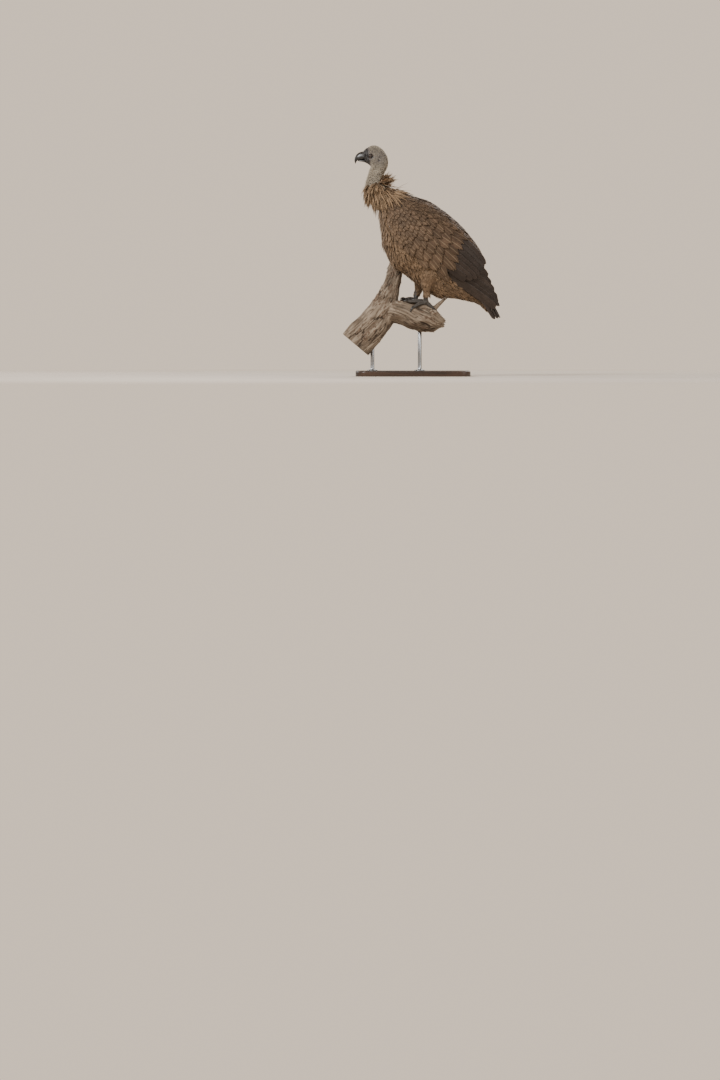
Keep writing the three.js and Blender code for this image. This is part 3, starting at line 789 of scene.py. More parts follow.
def fine_faces(mesh, inside):
    """Halves the edges of the faces whose centres are inside."""
    picked = np.flatnonzero(inside(read(mesh.polygons, "center", 3) / MM - ORIGIN))
    shape = bmesh.new()
    shape.from_mesh(mesh)
    shape.faces.ensure_lookup_table()
    chosen = [shape.faces[i] for i in picked]
    edges = list({e for f in chosen for e in f.edges})
    bmesh.ops.subdivide_edges(shape, edges=edges, cuts=1, use_grid_fill=True)
    bmesh.ops.triangulate(shape, faces=[f for f in shape.faces if len(f.verts) > 4])
    shape.to_mesh(mesh)
    shape.free()


def eased(points, edges, amount, times=2):
    """Points moved towards the mean of their neighbours, each by its own amount."""
    a, b = edges.T
    count = np.bincount(a, minlength=len(points)) + np.bincount(b, minlength=len(points))
    for _ in range(times):
        total = np.zeros_like(points)
        np.add.at(total, a, points[b])
        np.add.at(total, b, points[a])
        points = points + (total / np.maximum(count, 1)[:, None] - points) * amount[:, None]
    return points


def edges_of(mesh):
    return read(mesh.edges, "vertices", 2, np.int32)


def head_skin(depth):
    neck_depth = lambda u: -depth - 1.3 - 15 * smooth(0.42, 1.0, u)
    bodies = [
        body_of_surface(on_form(HEAD, grow=lambda u: -depth - 1.3 * smooth(0.9, 0.72, u)), 144, 130, (-0.07, 1.0)),
        body_of_surface(on_form(NECK, grow=neck_depth), 144, 90, (-0.08, 1.0)),
    ]
    mesh = remeshed("head", bodies, 1.75, 3)
    fine_faces(mesh, lambda c: (c[:, 0] < -216) & (c[:, 2] > 558))
    fine_faces(mesh, lambda c: (np.hypot(c[:, 0] - EYE["x"], c[:, 2] - EYE["z"]) < 10.5) & (np.abs(c[:, 1]) > 12))
    points = points_of(mesh)
    points = eased(points, edges_of(mesh), 0.5 * (points[:, 0] < -212), 3)
    set_points(mesh, sculpt_head(points))
    set_points(mesh, skin_folds(points_of(mesh), normals_of(mesh)))
    return mesh


def trunk_skin(depth, thigh_depth, wing_depth):
    bodies = [
        body_of_surface(on_form(TRUNK, TRUNK_EGG, -depth), 90, 120, (0.0, 0.94)),
        body_of_surface(on_form(NECK, grow=-depth), 60, 40, (0.5, 1.06)),
    ]
    for side_name, side in SIDES.items():
        bodies.append(body_of_surface(on_limb(THIGH[side_name], THIGH_RADII, grow=-thigh_depth), 60, 50))
        x, z = covert_spots(*grid(np.linspace(0.02, 0.97, 30), np.linspace(0.03, 0.97, 18)))
        outer, inner = on_folded(side, x, z, wing_depth), on_folded(side, x, z, wing_depth + 34)
        bodies.append(sheet_body(outer, inner))
    return remeshed("trunk", bodies, 4.2, 4)


def leg_skin():
    bodies = []
    for side_name in SIDES:
        bodies.append(body_of_surface(on_limb(TARSUS[side_name], TARSUS_RADII, grow=-0.5), 48, 40, (-0.35, 1.0)))
        for _, line, radii, _ in toe_lines(side_name):
            bodies.append(body_of_surface(on_limb(line, radii, grow=-0.4), 40, 50))
            end = 0.5 * (path(line, np.array([0.99]))[0] + path(line, np.array([1.0]))[0])
            bodies.append(ball_body(end, radii[-1] * 0.98))
        bodies.append(ball_body(np.array(TARSUS[side_name][-1]) + [0, 0, 1], 13))
    return remeshed("legs", bodies, 1.35, 4)


def ball_body(centre, radius):
    tilt, turn = grid(np.linspace(0.05, np.pi - 0.05, 14), turns(24))
    ring = np.stack([np.sin(tilt) * np.cos(turn), np.sin(tilt) * np.sin(turn), np.cos(tilt)], -1)
    return grid_body(centre + ring * radius)


def covert_spots(u, t):
    """Spots of the side view over the coverts' area, by the share back from the wrist and up."""
    low, high = spline(COVERTS["lower"], u), spline(COVERTS["upper"], u)
    spot = low + (high - low) * t[..., None]
    return spot[..., 0] - COVERTS["bow"] * (1 - u) * np.sin(np.pi * t), spot[..., 1]


def united(name, first, others):
    """One closed mesh from overlapping ones."""
    made = placed(name, first)
    helpers = [placed(name + "_part", other) for other in others]
    for helper in helpers:
        modifier = made.modifiers.new("join", "BOOLEAN")
        modifier.operation, modifier.solver, modifier.object = "UNION", "MANIFOLD", helper
    mesh = evaluated(made, name)
    for helper in helpers:
        discard(helper)
    return mesh


# ---------------------------------------------------------------- feathers

# A cross-section of a vane, as places across in half widths and heights in thicknesses, in one turn.
DOWN_SECTION = [(-1, 0), (0, 1), (1, 0)]
CONTOUR_SECTION = [(-1, 0), (-0.8, 0.36), (0, 1), (0.8, 0.36), (1, 0), (0, -0.7)]
FLIGHT_SECTION = [
    (-1, 0), (-0.72, 0.35), (-0.4, 0.45), (-0.09, 0.5), (0, 1.6), (0.09, 0.5), (0.4, 0.45), (0.72, 0.35),
    (1, 0), (0.55, -0.4), (0, -1.0), (-0.55, -0.4),
]
BAKE_PATCH = 0.003  # how much of the unwrap one feather covers
GOLDEN_ANGLE = 2.399963
QUILL_STATIONS = 18
RUFF_FEATHERS = 1700


def vane_faces(ring, stations):
    """The faces of one vane: a fan at each end, with bands between."""
    last = 1 + ring * (stations - 2)
    turn = [(j, (j + 1) % ring) for j in range(ring)]
    faces = [(0, 1 + b, 1 + a) for a, b in turn]
    for here in range(1, last - ring, ring):
        faces += [(here + a, here + b, here + ring + b, here + ring + a) for a, b in turn]
    return faces + [(last, last - ring + a, last - ring + b) for a, b in turn]


class Coat:
    """Gathers vanes for one piece and makes them one mesh."""

    def __init__(self, seed):
        self.random = np.random.default_rng(seed)
        self.points, self.corners, self.sizes, self.vane, self.bake, self.tone = ([] for _ in range(6))
        self.count = 0

    def add(self, spine, up, half, section, thick, cup, rough=0.06):
        """Vanes along spines, as feathers by stations by 3. Half gives the half width at each station."""
        feathers, stations = spine.shape[:2]
        across, height = np.array(section, float).T
        ahead = unit(np.gradient(spine, axis=1))
        beside = unit(np.cross(up, ahead))
        out = np.cross(ahead, beside)
        cup = np.broadcast_to(np.asarray(cup, float), (feathers,))[:, None, None]
        inner = half[:, 1:-1, None]
        wide = inner * across
        wide = wide * (1 + rough * self.random.uniform(-1, 1, wide.shape) * (np.abs(across) > 0.9))
        taper = np.sqrt(np.clip(inner / half.max(1)[:, None, None], 0.15, 1))
        rise = height * thick * taper - cup * inner * across**2
        rings = spine[:, 1:-1, None] + beside[:, 1:-1, None] * wide[..., None] + out[:, 1:-1, None] * rise[..., None]
        points = np.concatenate([spine[:, :1], rings.reshape(feathers, -1, 3), spine[:, -1:]], 1)
        u = np.concatenate([[0.5], np.tile((across + 1) / 2, stations - 2), [0.5]])
        v = np.concatenate([[0.0], np.repeat(np.linspace(0, 1, stations)[1:-1], len(section)), [1.0]])
        vane, each = np.stack([u, v], -1), points.shape[1]
        faces = vane_faces(len(section), stations)
        first = points[0] - points[0].mean(0)
        thirds = [(f[0], f[k], f[k + 1]) for f in faces for k in range(1, len(f) - 1)]
        if sum(np.dot(first[a], np.cross(first[b], first[c])) for a, b, c in thirds) < 0:
            faces = [f[::-1] for f in faces]
        starts = self.count + each * np.arange(feathers)
        self.corners.append((starts[:, None] + np.concatenate(faces)).ravel())
        self.sizes.append(np.tile([len(f) for f in faces], feathers))
        self.points.append(points.reshape(-1, 3))
        self.vane.append(np.tile(vane, (feathers, 1)))
        self.bake.append((bake_places(spine[:, 0])[:, None] + (vane - 0.5) * BAKE_PATCH).reshape(-1, 2))
        self.tone.append(np.repeat(self.random.random(feathers), each))
        self.count += feathers * each

    def build(self, name, material):
        corners = np.concatenate(self.corners)
        mesh = quick_mesh(name, np.vstack(self.points), corners, np.concatenate(self.sizes))
        for layer, places in (("Vane", self.vane), ("OFBake", self.bake)):
            write(mesh.uv_layers.new(name=layer).data, "uv", np.vstack(places)[corners])
        mark(mesh, "tone", np.concatenate(self.tone))
        return finished_mesh(name, mesh, material)


def outline(kind, stations):
    """A vane's half width at each station, as a share of its widest."""
    t = np.linspace(0, 1, stations)
    if kind == "pointed":  # lanceolate
        shape = np.sin(np.pi * t**0.75) ** 0.7 * (1 - 0.35 * t)
    elif kind == "round":
        shape = np.minimum(1, t / 0.3) ** 0.5 * np.sqrt(np.clip(1 - ((t - 0.55) / 0.46).clip(0) ** 2, 0, 1))
    else:  # broad with a blunt point
        shape = np.minimum(1, t / 0.35) ** 0.6 * np.clip(1 - ((t - 0.5) / 0.5).clip(0) ** 2.4, 0, 1) ** 0.8
    return shape / shape.max()


def depth_at(share, depths, power, lift):
    """How deep a vane lies at a share along: from root depth to tip depth, with its tip lifted."""
    return depths[1] + (depths[0] - depths[1]) * (1 - share) ** power - lift * share**2


def rolled(ups, spine, amount):
    """Which way vanes face once they are turned a little about their own length."""
    return unit(ups + np.cross(ups, unit(np.gradient(spine, axis=1))) * amount)


def laid(surface, u, angle, length, depths, stations, sweep, fall, lift):
    """Spines that lie along a surface, turned by sweep and falling under their weight."""
    sweep = np.broadcast_to(sweep, u.shape)
    lift = np.broadcast_to(lift, u.shape)
    step = length / (stations - 1)
    spine, ups = [], []
    for share in np.linspace(0, 1, stations):
        here, normal, along, around = frame_on(surface, u, angle)
        spine.append(here - normal * np.asarray(depth_at(share, depths, 1.4, lift))[..., None])
        ups.append(normal)
        ahead = np.cos(sweep) - fall * unit(along)[..., 2]
        beside = np.sin(sweep) - fall * unit(around)[..., 2]
        size = np.hypot(ahead, beside)
        u = u + ahead / size * step / norm(along)
        angle = angle + beside / size * step / np.maximum(norm(around), 8.0)
    return np.stack(spine, 1), np.stack(ups, 1)


def scattered(random, surface, us, angles, spacing, squeeze=1.0):
    """Staggered, slightly uneven places over a surface, as shares and angles. Squeeze brings the rows together."""
    u_places, angle_places = [], []
    u, row = us[0], 0
    while u < us[1]:
        mean = np.array([(angles[0] + angles[1]) / 2])
        along = frame_on(surface, np.array([u]), mean)[2]
        ring = surface(np.full(24, u), np.linspace(*angles, 24))
        count = max(3, int(line_length(ring) / spacing(u)))
        places = (np.arange(count) + 0.5 * (row % 2)) / count
        angle_places.append(angles[0] + (angles[1] - angles[0]) * (places + random.uniform(-0.3, 0.3, count) / count))
        step = spacing(u) * squeeze / np.linalg.norm(along)
        u_places.append(np.full(count, u) + random.uniform(-0.35, 0.35, count) * step)
        u, row = u + step, row + 1
    return np.concatenate(u_places), np.concatenate(angle_places)


def inside_outline(x, z, outline_points):
    """Whether spots of the side view lie inside an outline."""
    inside = np.zeros(x.shape, bool)
    px, pz = np.array(outline_points, float).T
    for ax, az, bx, bz in zip(px, pz, np.roll(px, -1), np.roll(pz, -1)):
        crosses = (az > z) != (bz > z)
        with np.errstate(divide="ignore", invalid="ignore"):
            inside ^= crosses & (x < (bx - ax) * (z - az) / (bz - az) + ax)
    return inside


def wing_outline(shrink):
    share = np.linspace(0, 1, 24)
    low, high = spline(BED["lower"], share), spline(BED["upper"], share)
    across = unit(high - low)
    low, high = low + across * shrink, high - across * shrink
    return np.vstack([low[1:-1], high[1:-1][::-1]])


def half_widths(kind, stations, wide, random, uneven=0.12):
    shape = outline(kind, stations)
    return np.asarray(wide)[:, None] * shape * (1 + random.uniform(-uneven, uneven, (len(wide), stations)))


# ---------------------------------------------------------------- the coat, region by region


class Skin:
    """The finished skin, for feathers that stand on its sculpted parts."""

    def __init__(self, mesh):
        mesh.calc_loop_triangles()
        corners = read(mesh.loop_triangles, "vertices", 3, np.int32)
        self.tree = BVHTree.FromPolygons(points_of(mesh).tolist(), corners.tolist())

    def under(self, points):
        found = [self.tree.find_nearest(Vector(p)) for p in points.tolist()]
        return np.array([f[0] for f in found]), np.array([f[1] for f in found])


def down_roots(skin, random, table, us, spacing):
    """Places of the down over a form: share along, root, the skin's normal there, and the way along."""
    surface = on_form(table)
    u, angle = scattered(random, surface, us, (0, 2 * np.pi), lambda u: spacing)
    here, _, along, _ = frame_on(surface, u, angle)
    return u, *skin.under(here), along


def lying(way, normal):
    return unit(way - normal * (way * normal).sum(-1, keepdims=True))


def head_down(skin, random, length, spacing):
    """Roots, normals, directions and lengths of the short down on the head."""
    u, root, normal, along = down_roots(skin, random, HEAD, (-0.06, 0.865), spacing)
    x, y, z = root.T
    face = smooth(-222, -243, x) * smooth(600, 570, z - 0.6 * (x + 243))
    face = np.maximum(face, smooth(15, 9.5, np.hypot(x - EYE["x"], z - EYE["z"])))
    face = np.maximum(face, smooth(-236, -246, x)) * smooth(530, 556, z)
    lid = np.hypot((x - EYE["x"]) / 10.6, (z - EYE["z"]) / 9.4) < 1
    ear = np.hypot((x + 203.5) / 4.4, (z - 571.5) / 5.6) < 1
    cere = (x + 0.16 * (z - 590) < -241.5) & (z > 549)
    bare = cere | ((lid | ear) & (np.abs(y) > 12))
    keep = ~bare & (random.random(len(u)) > 0.55 * face)
    sizes = length * (1 - 0.55 * face) * random.uniform(0.7, 1.2, len(u))
    return root[keep], normal[keep], lying(-along, normal)[keep], sizes[keep]


def neck_down(skin, random, length, spacing):
    u, root, normal, along = down_roots(skin, random, NECK, (-0.10, 0.72), spacing)
    sizes = length * random.uniform(0.7, 1.3, len(u)) * (0.72 + 0.5 * smooth(0, 0.5, u) + 0.9 * smooth(0.38, 0.6, u))
    return root, normal, lying(along, normal), sizes


def tufts(coat, root, normal, ahead, length, wide, rise, stations=5):
    """Short curved tufts that stand up from the skin and lie over."""
    random, count = coat.random, len(root)
    ahead = unit(ahead + np.cross(normal, ahead) * random.normal(0, 0.3, (count, 1)))
    t = np.linspace(0, 1, stations)[None, :, None]
    rise = np.broadcast_to(np.asarray(rise, float), length.shape)[:, None, None]
    lift = rise * random.uniform(0.7, 1.3, (count, 1, 1))
    way = ahead[:, None] * t**1.15 + normal[:, None] * lift * np.sin(t * 2.1)
    spine = root[:, None] - normal[:, None] * 0.25 + length[:, None, None] * way
    half = wide * random.uniform(0.75, 1.25, (count, 1)) * outline("pointed", stations)[None]
    coat.add(spine, np.broadcast_to(normal[:, None], spine.shape), half, DOWN_SECTION, 0.45, 0.1)


def ruff_lines(random, count, reach):
    """Spines of the ruff's long narrow feathers. The first stand off as a collar, the others hang on the shoulders."""
    surface = on_form(NECK, grow=lambda u: -4.0 - 8 * smooth(0.42, 1.0, u))
    share = random.uniform(0, 1, count) ** 0.85
    angle = (np.arange(count) * GOLDEN_ANGLE + random.uniform(-0.1, 0.1, count)) % (2 * np.pi)
    back = 0.5 + 0.5 * np.cos(angle)
    u = 0.44 - 0.07 * back + share * (0.17 + 0.41 * back)
    here, normal, along, _ = frame_on(surface, u, angle)
    along = unit(along)
    collar = smooth(0.34, 0.04, share)
    spot = np.stack([np.cos(angle) * 3.4, np.sin(angle) * 3.4, u * 11], -1)
    clump, parting, turning = noise(spot, 41), noise(spot * 0.9, 42), noise(spot * 1.1, 43)
    long = reach * random.uniform(0.7, 1.15, count) * (0.60 + 0.42 * back - 0.2 * collar) * (1 + 0.34 * clump)
    stand = 0.07 + 0.16 * back + (0.20 + 0.33 * back) * collar
    stand = stand * random.uniform(0.6, 1.35, count) * (1 + 0.7 * parting)
    stand += 0.22 * (random.random(count) < 0.08)
    upright = 0.85 * collar * back**2 * random.uniform(0.5, 1.3, count)
    sideways = np.cross(normal, along) * (0.34 * turning + random.normal(0, 0.11, count))[:, None]
    up = np.array([0.0, 0.0, 1.0])
    start = along * (1 - stand - 0.5 * upright)[:, None] + normal * stand[:, None] + up * upright[:, None] + sideways
    t = np.linspace(0, 1, 9)[None, :, None]
    hang = ((0.26 + 0.3 * (1 - back)) * (1 - 0.6 * collar * back))[:, None, None]
    hang = hang * random.uniform(0.4, 1.3, (count, 1, 1))
    spine = here[:, None] + long[:, None, None] * (unit(start)[:, None] * t - up * hang * t**2.2)
    gap = random.uniform(1.5, 6, count) * (0.4 + 0.6 * smooth(0.2, 0.8, share)) * (0.5 + 0.5 * back) + 1.5 * clump
    return clear_of(on_form(FOLDED), spine, gap), np.broadcast_to(normal[:, None], spine.shape)


def clear_of(surface, spine, gap):
    """Spines moved out of a surface, each point by as much as its share along allows."""
    points, faces = body_of_surface(surface, 64, 70)
    tree = BVHTree.FromPolygons(points.tolist(), faces)
    flat = spine.reshape(-1, 3)
    share = np.tile(np.linspace(0, 1, spine.shape[1]), len(spine))
    gap = np.repeat(gap, spine.shape[1])
    for i, p in enumerate(flat.tolist()):
        spot, normal, _, _ = tree.find_nearest(Vector(p))
        inside = (Vector(p) - spot).dot(normal)
        wanted = gap[i] * min(1.0, share[i] * 1.6) - 9.0 * max(0.0, 1 - share[i] * 2.2)
        if inside < wanted:
            flat[i] += np.array(normal) * (wanted - inside)
    return flat.reshape(spine.shape)


def under_wing(spine, outline_points):
    """Spines held in under the wing's feathers wherever they lie inside an outline."""
    x, y, z = np.moveaxis(spine, -1, 0)
    over = inside_outline(x, z, outline_points)
    limit = np.maximum(np.abs(on_folded(1, x, z, np.full(x.shape, 15.0))[..., 1]), 25.0)
    held = np.where(over, np.sign(y) * np.minimum(np.abs(y), limit), y)
    return np.stack([x, held, z], -1)


def body_feathers(
    coat, surface, us, angles, size, wide, spacing, depths, kind="pointed", keep=None, stations=8, tuck=None,
    fall=0.0, lift=1.2,
):
    """Rows of contour feathers over part of a surface. Size, wide and spacing are functions of the share along."""
    random = coat.random
    u, angle = scattered(random, surface, us, angles, spacing, 0.9)
    if keep is not None:
        chosen = keep(surface(u, angle))
        u, angle = u[chosen], angle[chosen]
    count = len(u)
    length = size(u) * random.uniform(0.85, 1.15, count)
    sweep = random.normal(0, 0.09, count)
    lift = lift * random.uniform(-0.2, 1.6, count) ** 2
    here = surface(u, angle)
    for x, z, reach, rise in LOOSE_TUFTS:
        lift += rise * ridge(np.hypot(here[:, 0] - x, here[:, 2] - z), reach) * random.uniform(0.4, 1.1, count)
    depths = [d(u) if callable(d) else d for d in depths]
    spine, ups = laid(surface, u, angle, length, depths, stations, sweep, fall, lift)
    if tuck is not None:
        spine = under_wing(spine, tuck)
    ups = rolled(ups, spine, random.normal(0, 0.12, (count, 1, 1)))
    half = half_widths(kind, stations, wide(u) * random.uniform(0.85, 1.15, count), random)
    coat.add(spine, ups, half, CONTOUR_SECTION, 0.4, random.uniform(0.06, 0.16, count), rough=0.1)


def laid_on_wing(side, x, z, heading, length, depths, shares, sag, power=1.3, lift=0.0, flat=0.0):
    """Spines on one side's folded wing from spots of the side view."""
    dx, dz = np.cos(heading), np.sin(heading)
    spine, ups = [], []
    for share in shares:
        bend = sag * np.sin(np.pi * share)
        px, pz = x + dx * length * share - dz * bend, z + dz * length * share + dx * bend
        depth = np.broadcast_to(depth_at(share, depths, power, lift), x.shape)
        at = lambda ex, ez: on_folded(side, px + ex, pz + ez, depth, flat)
        spine.append(at(0, 0))
        ups.append(unit(np.cross(at(4, 0) - at(-4, 0), at(0, 4) - at(0, -4))) * -side)
    return np.stack(spine, 1), np.stack(ups, 1)


WING_HEADING = math.atan2(-0.68, 0.73)


def covert_rows(coat, side):
    """The rows of coverts from the wrist back."""
    random = coat.random
    for row, (back, length, wide, spacing, tip, reach) in enumerate(COVERT_ROWS):
        low, high = spline(COVERTS["lower"], np.array([back])), spline(COVERTS["upper"], np.array([back]))
        count = max(3, int(np.linalg.norm(high - low) * (reach[1] - reach[0]) / spacing))
        t = np.arange(count) + 0.5 * (row % 2) + random.uniform(-0.2, 0.2, count)
        t = reach[0] + (reach[1] - reach[0]) * t / count
        x, z = covert_spots(back + random.uniform(-0.015, 0.015, count), t)
        heading = WING_HEADING + 0.12 * (t - 0.5) + random.normal(0, 0.08, count)
        size, lift = length * random.uniform(0.88, 1.12, count), random.uniform(-0.4, 1.2, count)
        steps = np.linspace(0, 1, 9)
        spine, ups = laid_on_wing(side, x, z, heading, size, (8.4, tip), steps, 0.03 * length, lift=lift)
        ups = rolled(ups, spine, random.normal(0, 0.05, (count, 1, 1)))
        half = half_widths("blunt" if length > 50 else "round", 9, np.full(count, wide), random, 0.05)
        section = FLIGHT_SECTION if length > 90 else CONTOUR_SECTION
        coat.add(spine, ups, half, section, 0.42, 0.13, rough=0.05)


def quill_steps(stations):
    """Shares along a quill, closer together towards its rounded tip."""
    return 1 - (1 - np.linspace(0, 1, stations)) ** 1.5


def flight_fan(coat, side, table, depth, overlap, tilt):
    """Flight feathers side by side, each under the one before it."""
    count = table["count"]
    s = (np.arange(count) + 0.5) / count
    before, after = np.clip(s - 0.5 / count, 0, 1), np.clip(s + 0.5 / count, 0, 1)
    base, tip = spline(table["bases"], s), spline(table["tips"], s)
    root_gap, tip_gap = (norm(spline(table[k], after) - spline(table[k], before))[:, None] for k in ("bases", "tips"))
    heading = np.arctan2(tip[:, 1] - base[:, 1], tip[:, 0] - base[:, 0])
    t, depths = quill_steps(QUILL_STATIONS), (depth + 9, depth)
    bow, flat = table["bow"], table["flat"]
    spine, ups = laid_on_wing(side, *base.T, heading, norm(tip - base), depths, t, bow, 2.0, flat=flat)
    shape = np.minimum(1, t / 0.12) ** 0.5 * np.clip(1 - ((t - 0.82) / 0.18).clip(0) ** 2.8, 0.0, 1) ** 0.6
    half = (root_gap * (1 - t) + tip_gap * t) / 2 * overlap * shape
    half = half.clip(0, 19) * (1 + coat.random.uniform(-0.03, 0.03, half.shape))
    coat.add(spine, rolled(ups, spine, tilt * side), half, FLIGHT_SECTION, 0.5, 0.07, rough=0.03)


def tail_fan(coat):
    root, tip = np.array(TAIL["root"], float), np.array(TAIL["tip"], float)
    ahead = unit(tip - root)
    up = np.array([-ahead[1], ahead[0]])
    count, length, share = TAIL["feathers"], np.linalg.norm(tip - root), quill_steps(QUILL_STATIONS)
    fan = TAIL["root_half"] + (TAIL["tip_half"] - TAIL["root_half"]) * share**1.6
    easing = 1.8 - 0.8 * share
    shape = np.minimum(1, share / 0.1) ** 0.5 * np.clip(1 - ((share - 0.88) / 0.12).clip(0) ** 3.4, 0, 1) ** 0.5
    for k in sorted(range(count), key=lambda k: -abs(k - (count - 1) / 2)):
        t = (2 * k + 1) / count - 1
        reach = (length - TAIL["shorter"] * t * t) * share
        lift = -TAIL["arch"] * t * t * easing - 0.8 - 2.2 * abs(t) + TAIL["bow"] * np.sin(np.pi * share)
        flat = root + ahead * reach[:, None] + up * lift[:, None]
        slope = 2 * TAIL["arch"] * t * easing / fan
        level = np.ones(len(share))
        ups = unit(np.stack([up[0] * level, slope * 0.8, up[1] * level], -1))[None]
        spine = np.stack([flat[:, 0], t * fan, flat[:, 1]], -1)[None]
        coat.add(spine, ups, (fan / count * 1.55 * shape)[None], FLIGHT_SECTION, 0.5, 0.1, rough=0.03)


# ---------------------------------------------------------------- horn, eyes and feet


def bill_body(table, around, along, start):
    def surface(u, angle):
        row = spline(table, u)
        middle, up = middle_and_up(row)
        c, s = np.cos(angle), np.sin(angle)
        level = np.sign(c) * np.abs(c) ** np.where(c < 0, 0.62, 0.95)
        y = np.sign(s) * np.abs(s) ** np.where(c < 0, 0.7, 1.0) * row[..., 4] * (1 - 0.22 * level)
        flat = middle + up * level[..., None]
        return np.stack([flat[..., 0], y, flat[..., 1]], -1)

    return body_of_surface(surface, around, along, (start, 1))


def eye_body(side):
    """The ball with its clear front standing out a little."""
    tilt, turn = grid(np.linspace(0.02, np.pi - 0.02, 34), turns(48))
    reach = EYE["radius"] + 0.75 * smooth(0.72, 0.2, tilt)
    ring = np.stack([np.sin(tilt) * np.cos(turn), side * np.cos(tilt), np.sin(tilt) * np.sin(turn)], -1)
    return grid_body(ring * reach[..., None] + np.array([EYE["x"], side * EYE["outward"], EYE["z"]]))


def chip_grid(rows, columns):
    return grid(np.linspace(-0.5, 0.5, rows), np.linspace(-0.5, 0.5, columns))


def plate_body():
    """One scute: a small curved plate, flat on its underside, a unit long and wide."""
    x, y = chip_grid(5, 7)
    top = 0.16 * np.cos(np.pi * x * 0.9) ** 0.7 - 0.62 * y**2
    return sheet_body(np.stack([x, y, top], -1), np.stack([x * 0.96, y, -0.62 * y**2 - 0.1], -1))


def flake_body():
    """One flake of bark: a long thin curved chip with a ragged outline."""
    x, y = chip_grid(7, 4)
    y = y * 0.34 * (1 - 0.35 * np.abs(x * 2) ** 3 + 0.12 * np.sin(9 * x + 2 * y))
    top = 0.05 + 0.16 * x**2 - 1.1 * y**2 + 0.012 * np.sin(14 * y)
    return sheet_body(np.stack([x, y, top], -1), np.stack([x * 0.98, y * 0.94, top - 0.05], -1))


REPEAT_INPUTS = {
    "Geometry": "Geometry", "Shape": "Object", "Unevenness": "Float", "Seed": "Int", "Finish": "Material",
}


def places_object(name, points, outward, along, sizes):
    """A cloud of points that says where repeated shapes stand, how they are turned and how large they are."""
    mesh = bpy.data.meshes.new(name)
    mesh.vertices.add(len(points))
    write(mesh.vertices, "co", packed(points))
    for label, values in (("outward", outward), ("along", along), ("size", np.asarray(sizes) * MM)):
        mark(mesh, label, values)
    return placed(name, mesh)


def repeat_tree():
    """The node tree that stands one shape on every point of a cloud, built once."""
    name = "Stand a shape on every point"
    if name in bpy.data.node_groups:
        return bpy.data.node_groups[name]
    tree = bpy.data.node_groups.new(name, "GeometryNodeTree")
    for label, kind in REPEAT_INPUTS.items():
        tree.interface.new_socket(label, in_out="INPUT", socket_type="NodeSocket" + kind)
    tree.interface.new_socket("Geometry", in_out="OUTPUT", socket_type="NodeSocketGeometry")
    g = Graph(tree)
    start, end = g.node("NodeGroupInput").outputs, g.node("NodeGroupOutput").inputs

    def named(label):
        made = g.node("GeometryNodeInputNamedAttribute", {"Name": label}, data_type="FLOAT_VECTOR")
        return made.outputs["Attribute"]

    number = lambda sockets, label: next(s for s in sockets if s.name == label and s.type == "VALUE")
    shape = g.node("GeometryNodeObjectInfo", {"Object": start["Shape"]})
    ways = {"Primary Axis": named("outward"), "Secondary Axis": named("along")}
    turn = g.node("FunctionNodeAxesToRotation", ways, primary_axis="Z", secondary_axis="X")
    uneven = g.node("FunctionNodeRandomValue", {"Seed": start["Seed"]}, data_type="FLOAT")
    g.put(number(uneven.inputs, "Min"), g.less(1.0, start["Unevenness"]))
    g.put(number(uneven.inputs, "Max"), g.add(1.0, start["Unevenness"]))
    scaling = {0: named("size"), "Scale": number(uneven.outputs, "Value")}
    size = g.node("ShaderNodeVectorMath", scaling, operation="SCALE")
    cloud = g.node("GeometryNodeMeshToPoints", {"Mesh": start["Geometry"]})
    stand = g.node("GeometryNodeInstanceOnPoints", {
        "Points": cloud.outputs["Points"], "Instance": shape.outputs["Geometry"],
        "Rotation": turn.outputs["Rotation"], "Scale": size.outputs["Vector"],
    })
    real = g.node("GeometryNodeRealizeInstances", {"Geometry": stand.outputs["Instances"]})
    finish = g.node("GeometryNodeSetMaterial", {"Geometry": real.outputs["Geometry"], "Material": start["Finish"]})
    g.put(end["Geometry"], finish.outputs["Geometry"])
    return tree


def repeated(name, cloud, shape, material, unevenness, seed):
    """A shape on every point of a cloud, as one plain mesh object."""
    points, faces = shape
    mesh = bpy.data.meshes.new(name + "_shape")
    mesh.from_pydata(points.tolist(), [], faces)
    write(mesh.polygons, "use_smooth", np.ones(len(mesh.polygons)), bool)
    pattern = bpy.data.objects.new(name + "_shape", mesh)
    tree = repeat_tree()
    modifier = cloud.modifiers.new("repeat", "NODES")
    modifier.node_group = tree
    inputs = {i.name: i.identifier for i in tree.interface.items_tree if i.in_out == "INPUT"}
    for label, value in (("Shape", pattern), ("Unevenness", unevenness), ("Seed", seed), ("Finish", material)):
        modifier[inputs[label]] = value
    made = evaluated(cloud, name)
    bpy.data.objects.remove(pattern)
    made.materials.clear()
    made.materials.append(material)
    write(made.polygons, "material_index", np.zeros(len(made.polygons)), np.int32)
    return placed(name, made)


def scute_places():
    """Where the scutes lie: a row along the top of every toe and down the front of every shank."""
    places = []
    for side_name in SIDES:
        rows = [(line, radii, 12 if name != "hind" else 7) for name, line, radii, _ in toe_lines(side_name)]
        rows.append((TARSUS[side_name], TARSUS_RADII, 9))
        for line, radii, count in rows:
            u = np.linspace(0.16, 0.985, count)
            ahead = unit(path(line, np.minimum(u + 0.01, 1)) - path(line, u - 0.01))
            front = np.array([-1.0, 0.0, 0.0] if line is TARSUS[side_name] else [0.0, 0.0, 1.0])
            up = unit(front - ahead * (ahead * front).sum(-1, keepdims=True))
            reach = scalars(radii, u)
            length = line_length(path(line, np.linspace(0, 1, 40))) * (0.83 / count)
            size = np.stack([np.full(count, length * 1.25), reach * 1.62, reach * 0.9], -1)
            places.append((path(line, u) + up * (reach * 0.985)[:, None], up + ahead * 0.06, ahead, size))
    return [np.vstack(part) for part in zip(*places)]


# ---------------------------------------------------------------- dead wood and stand

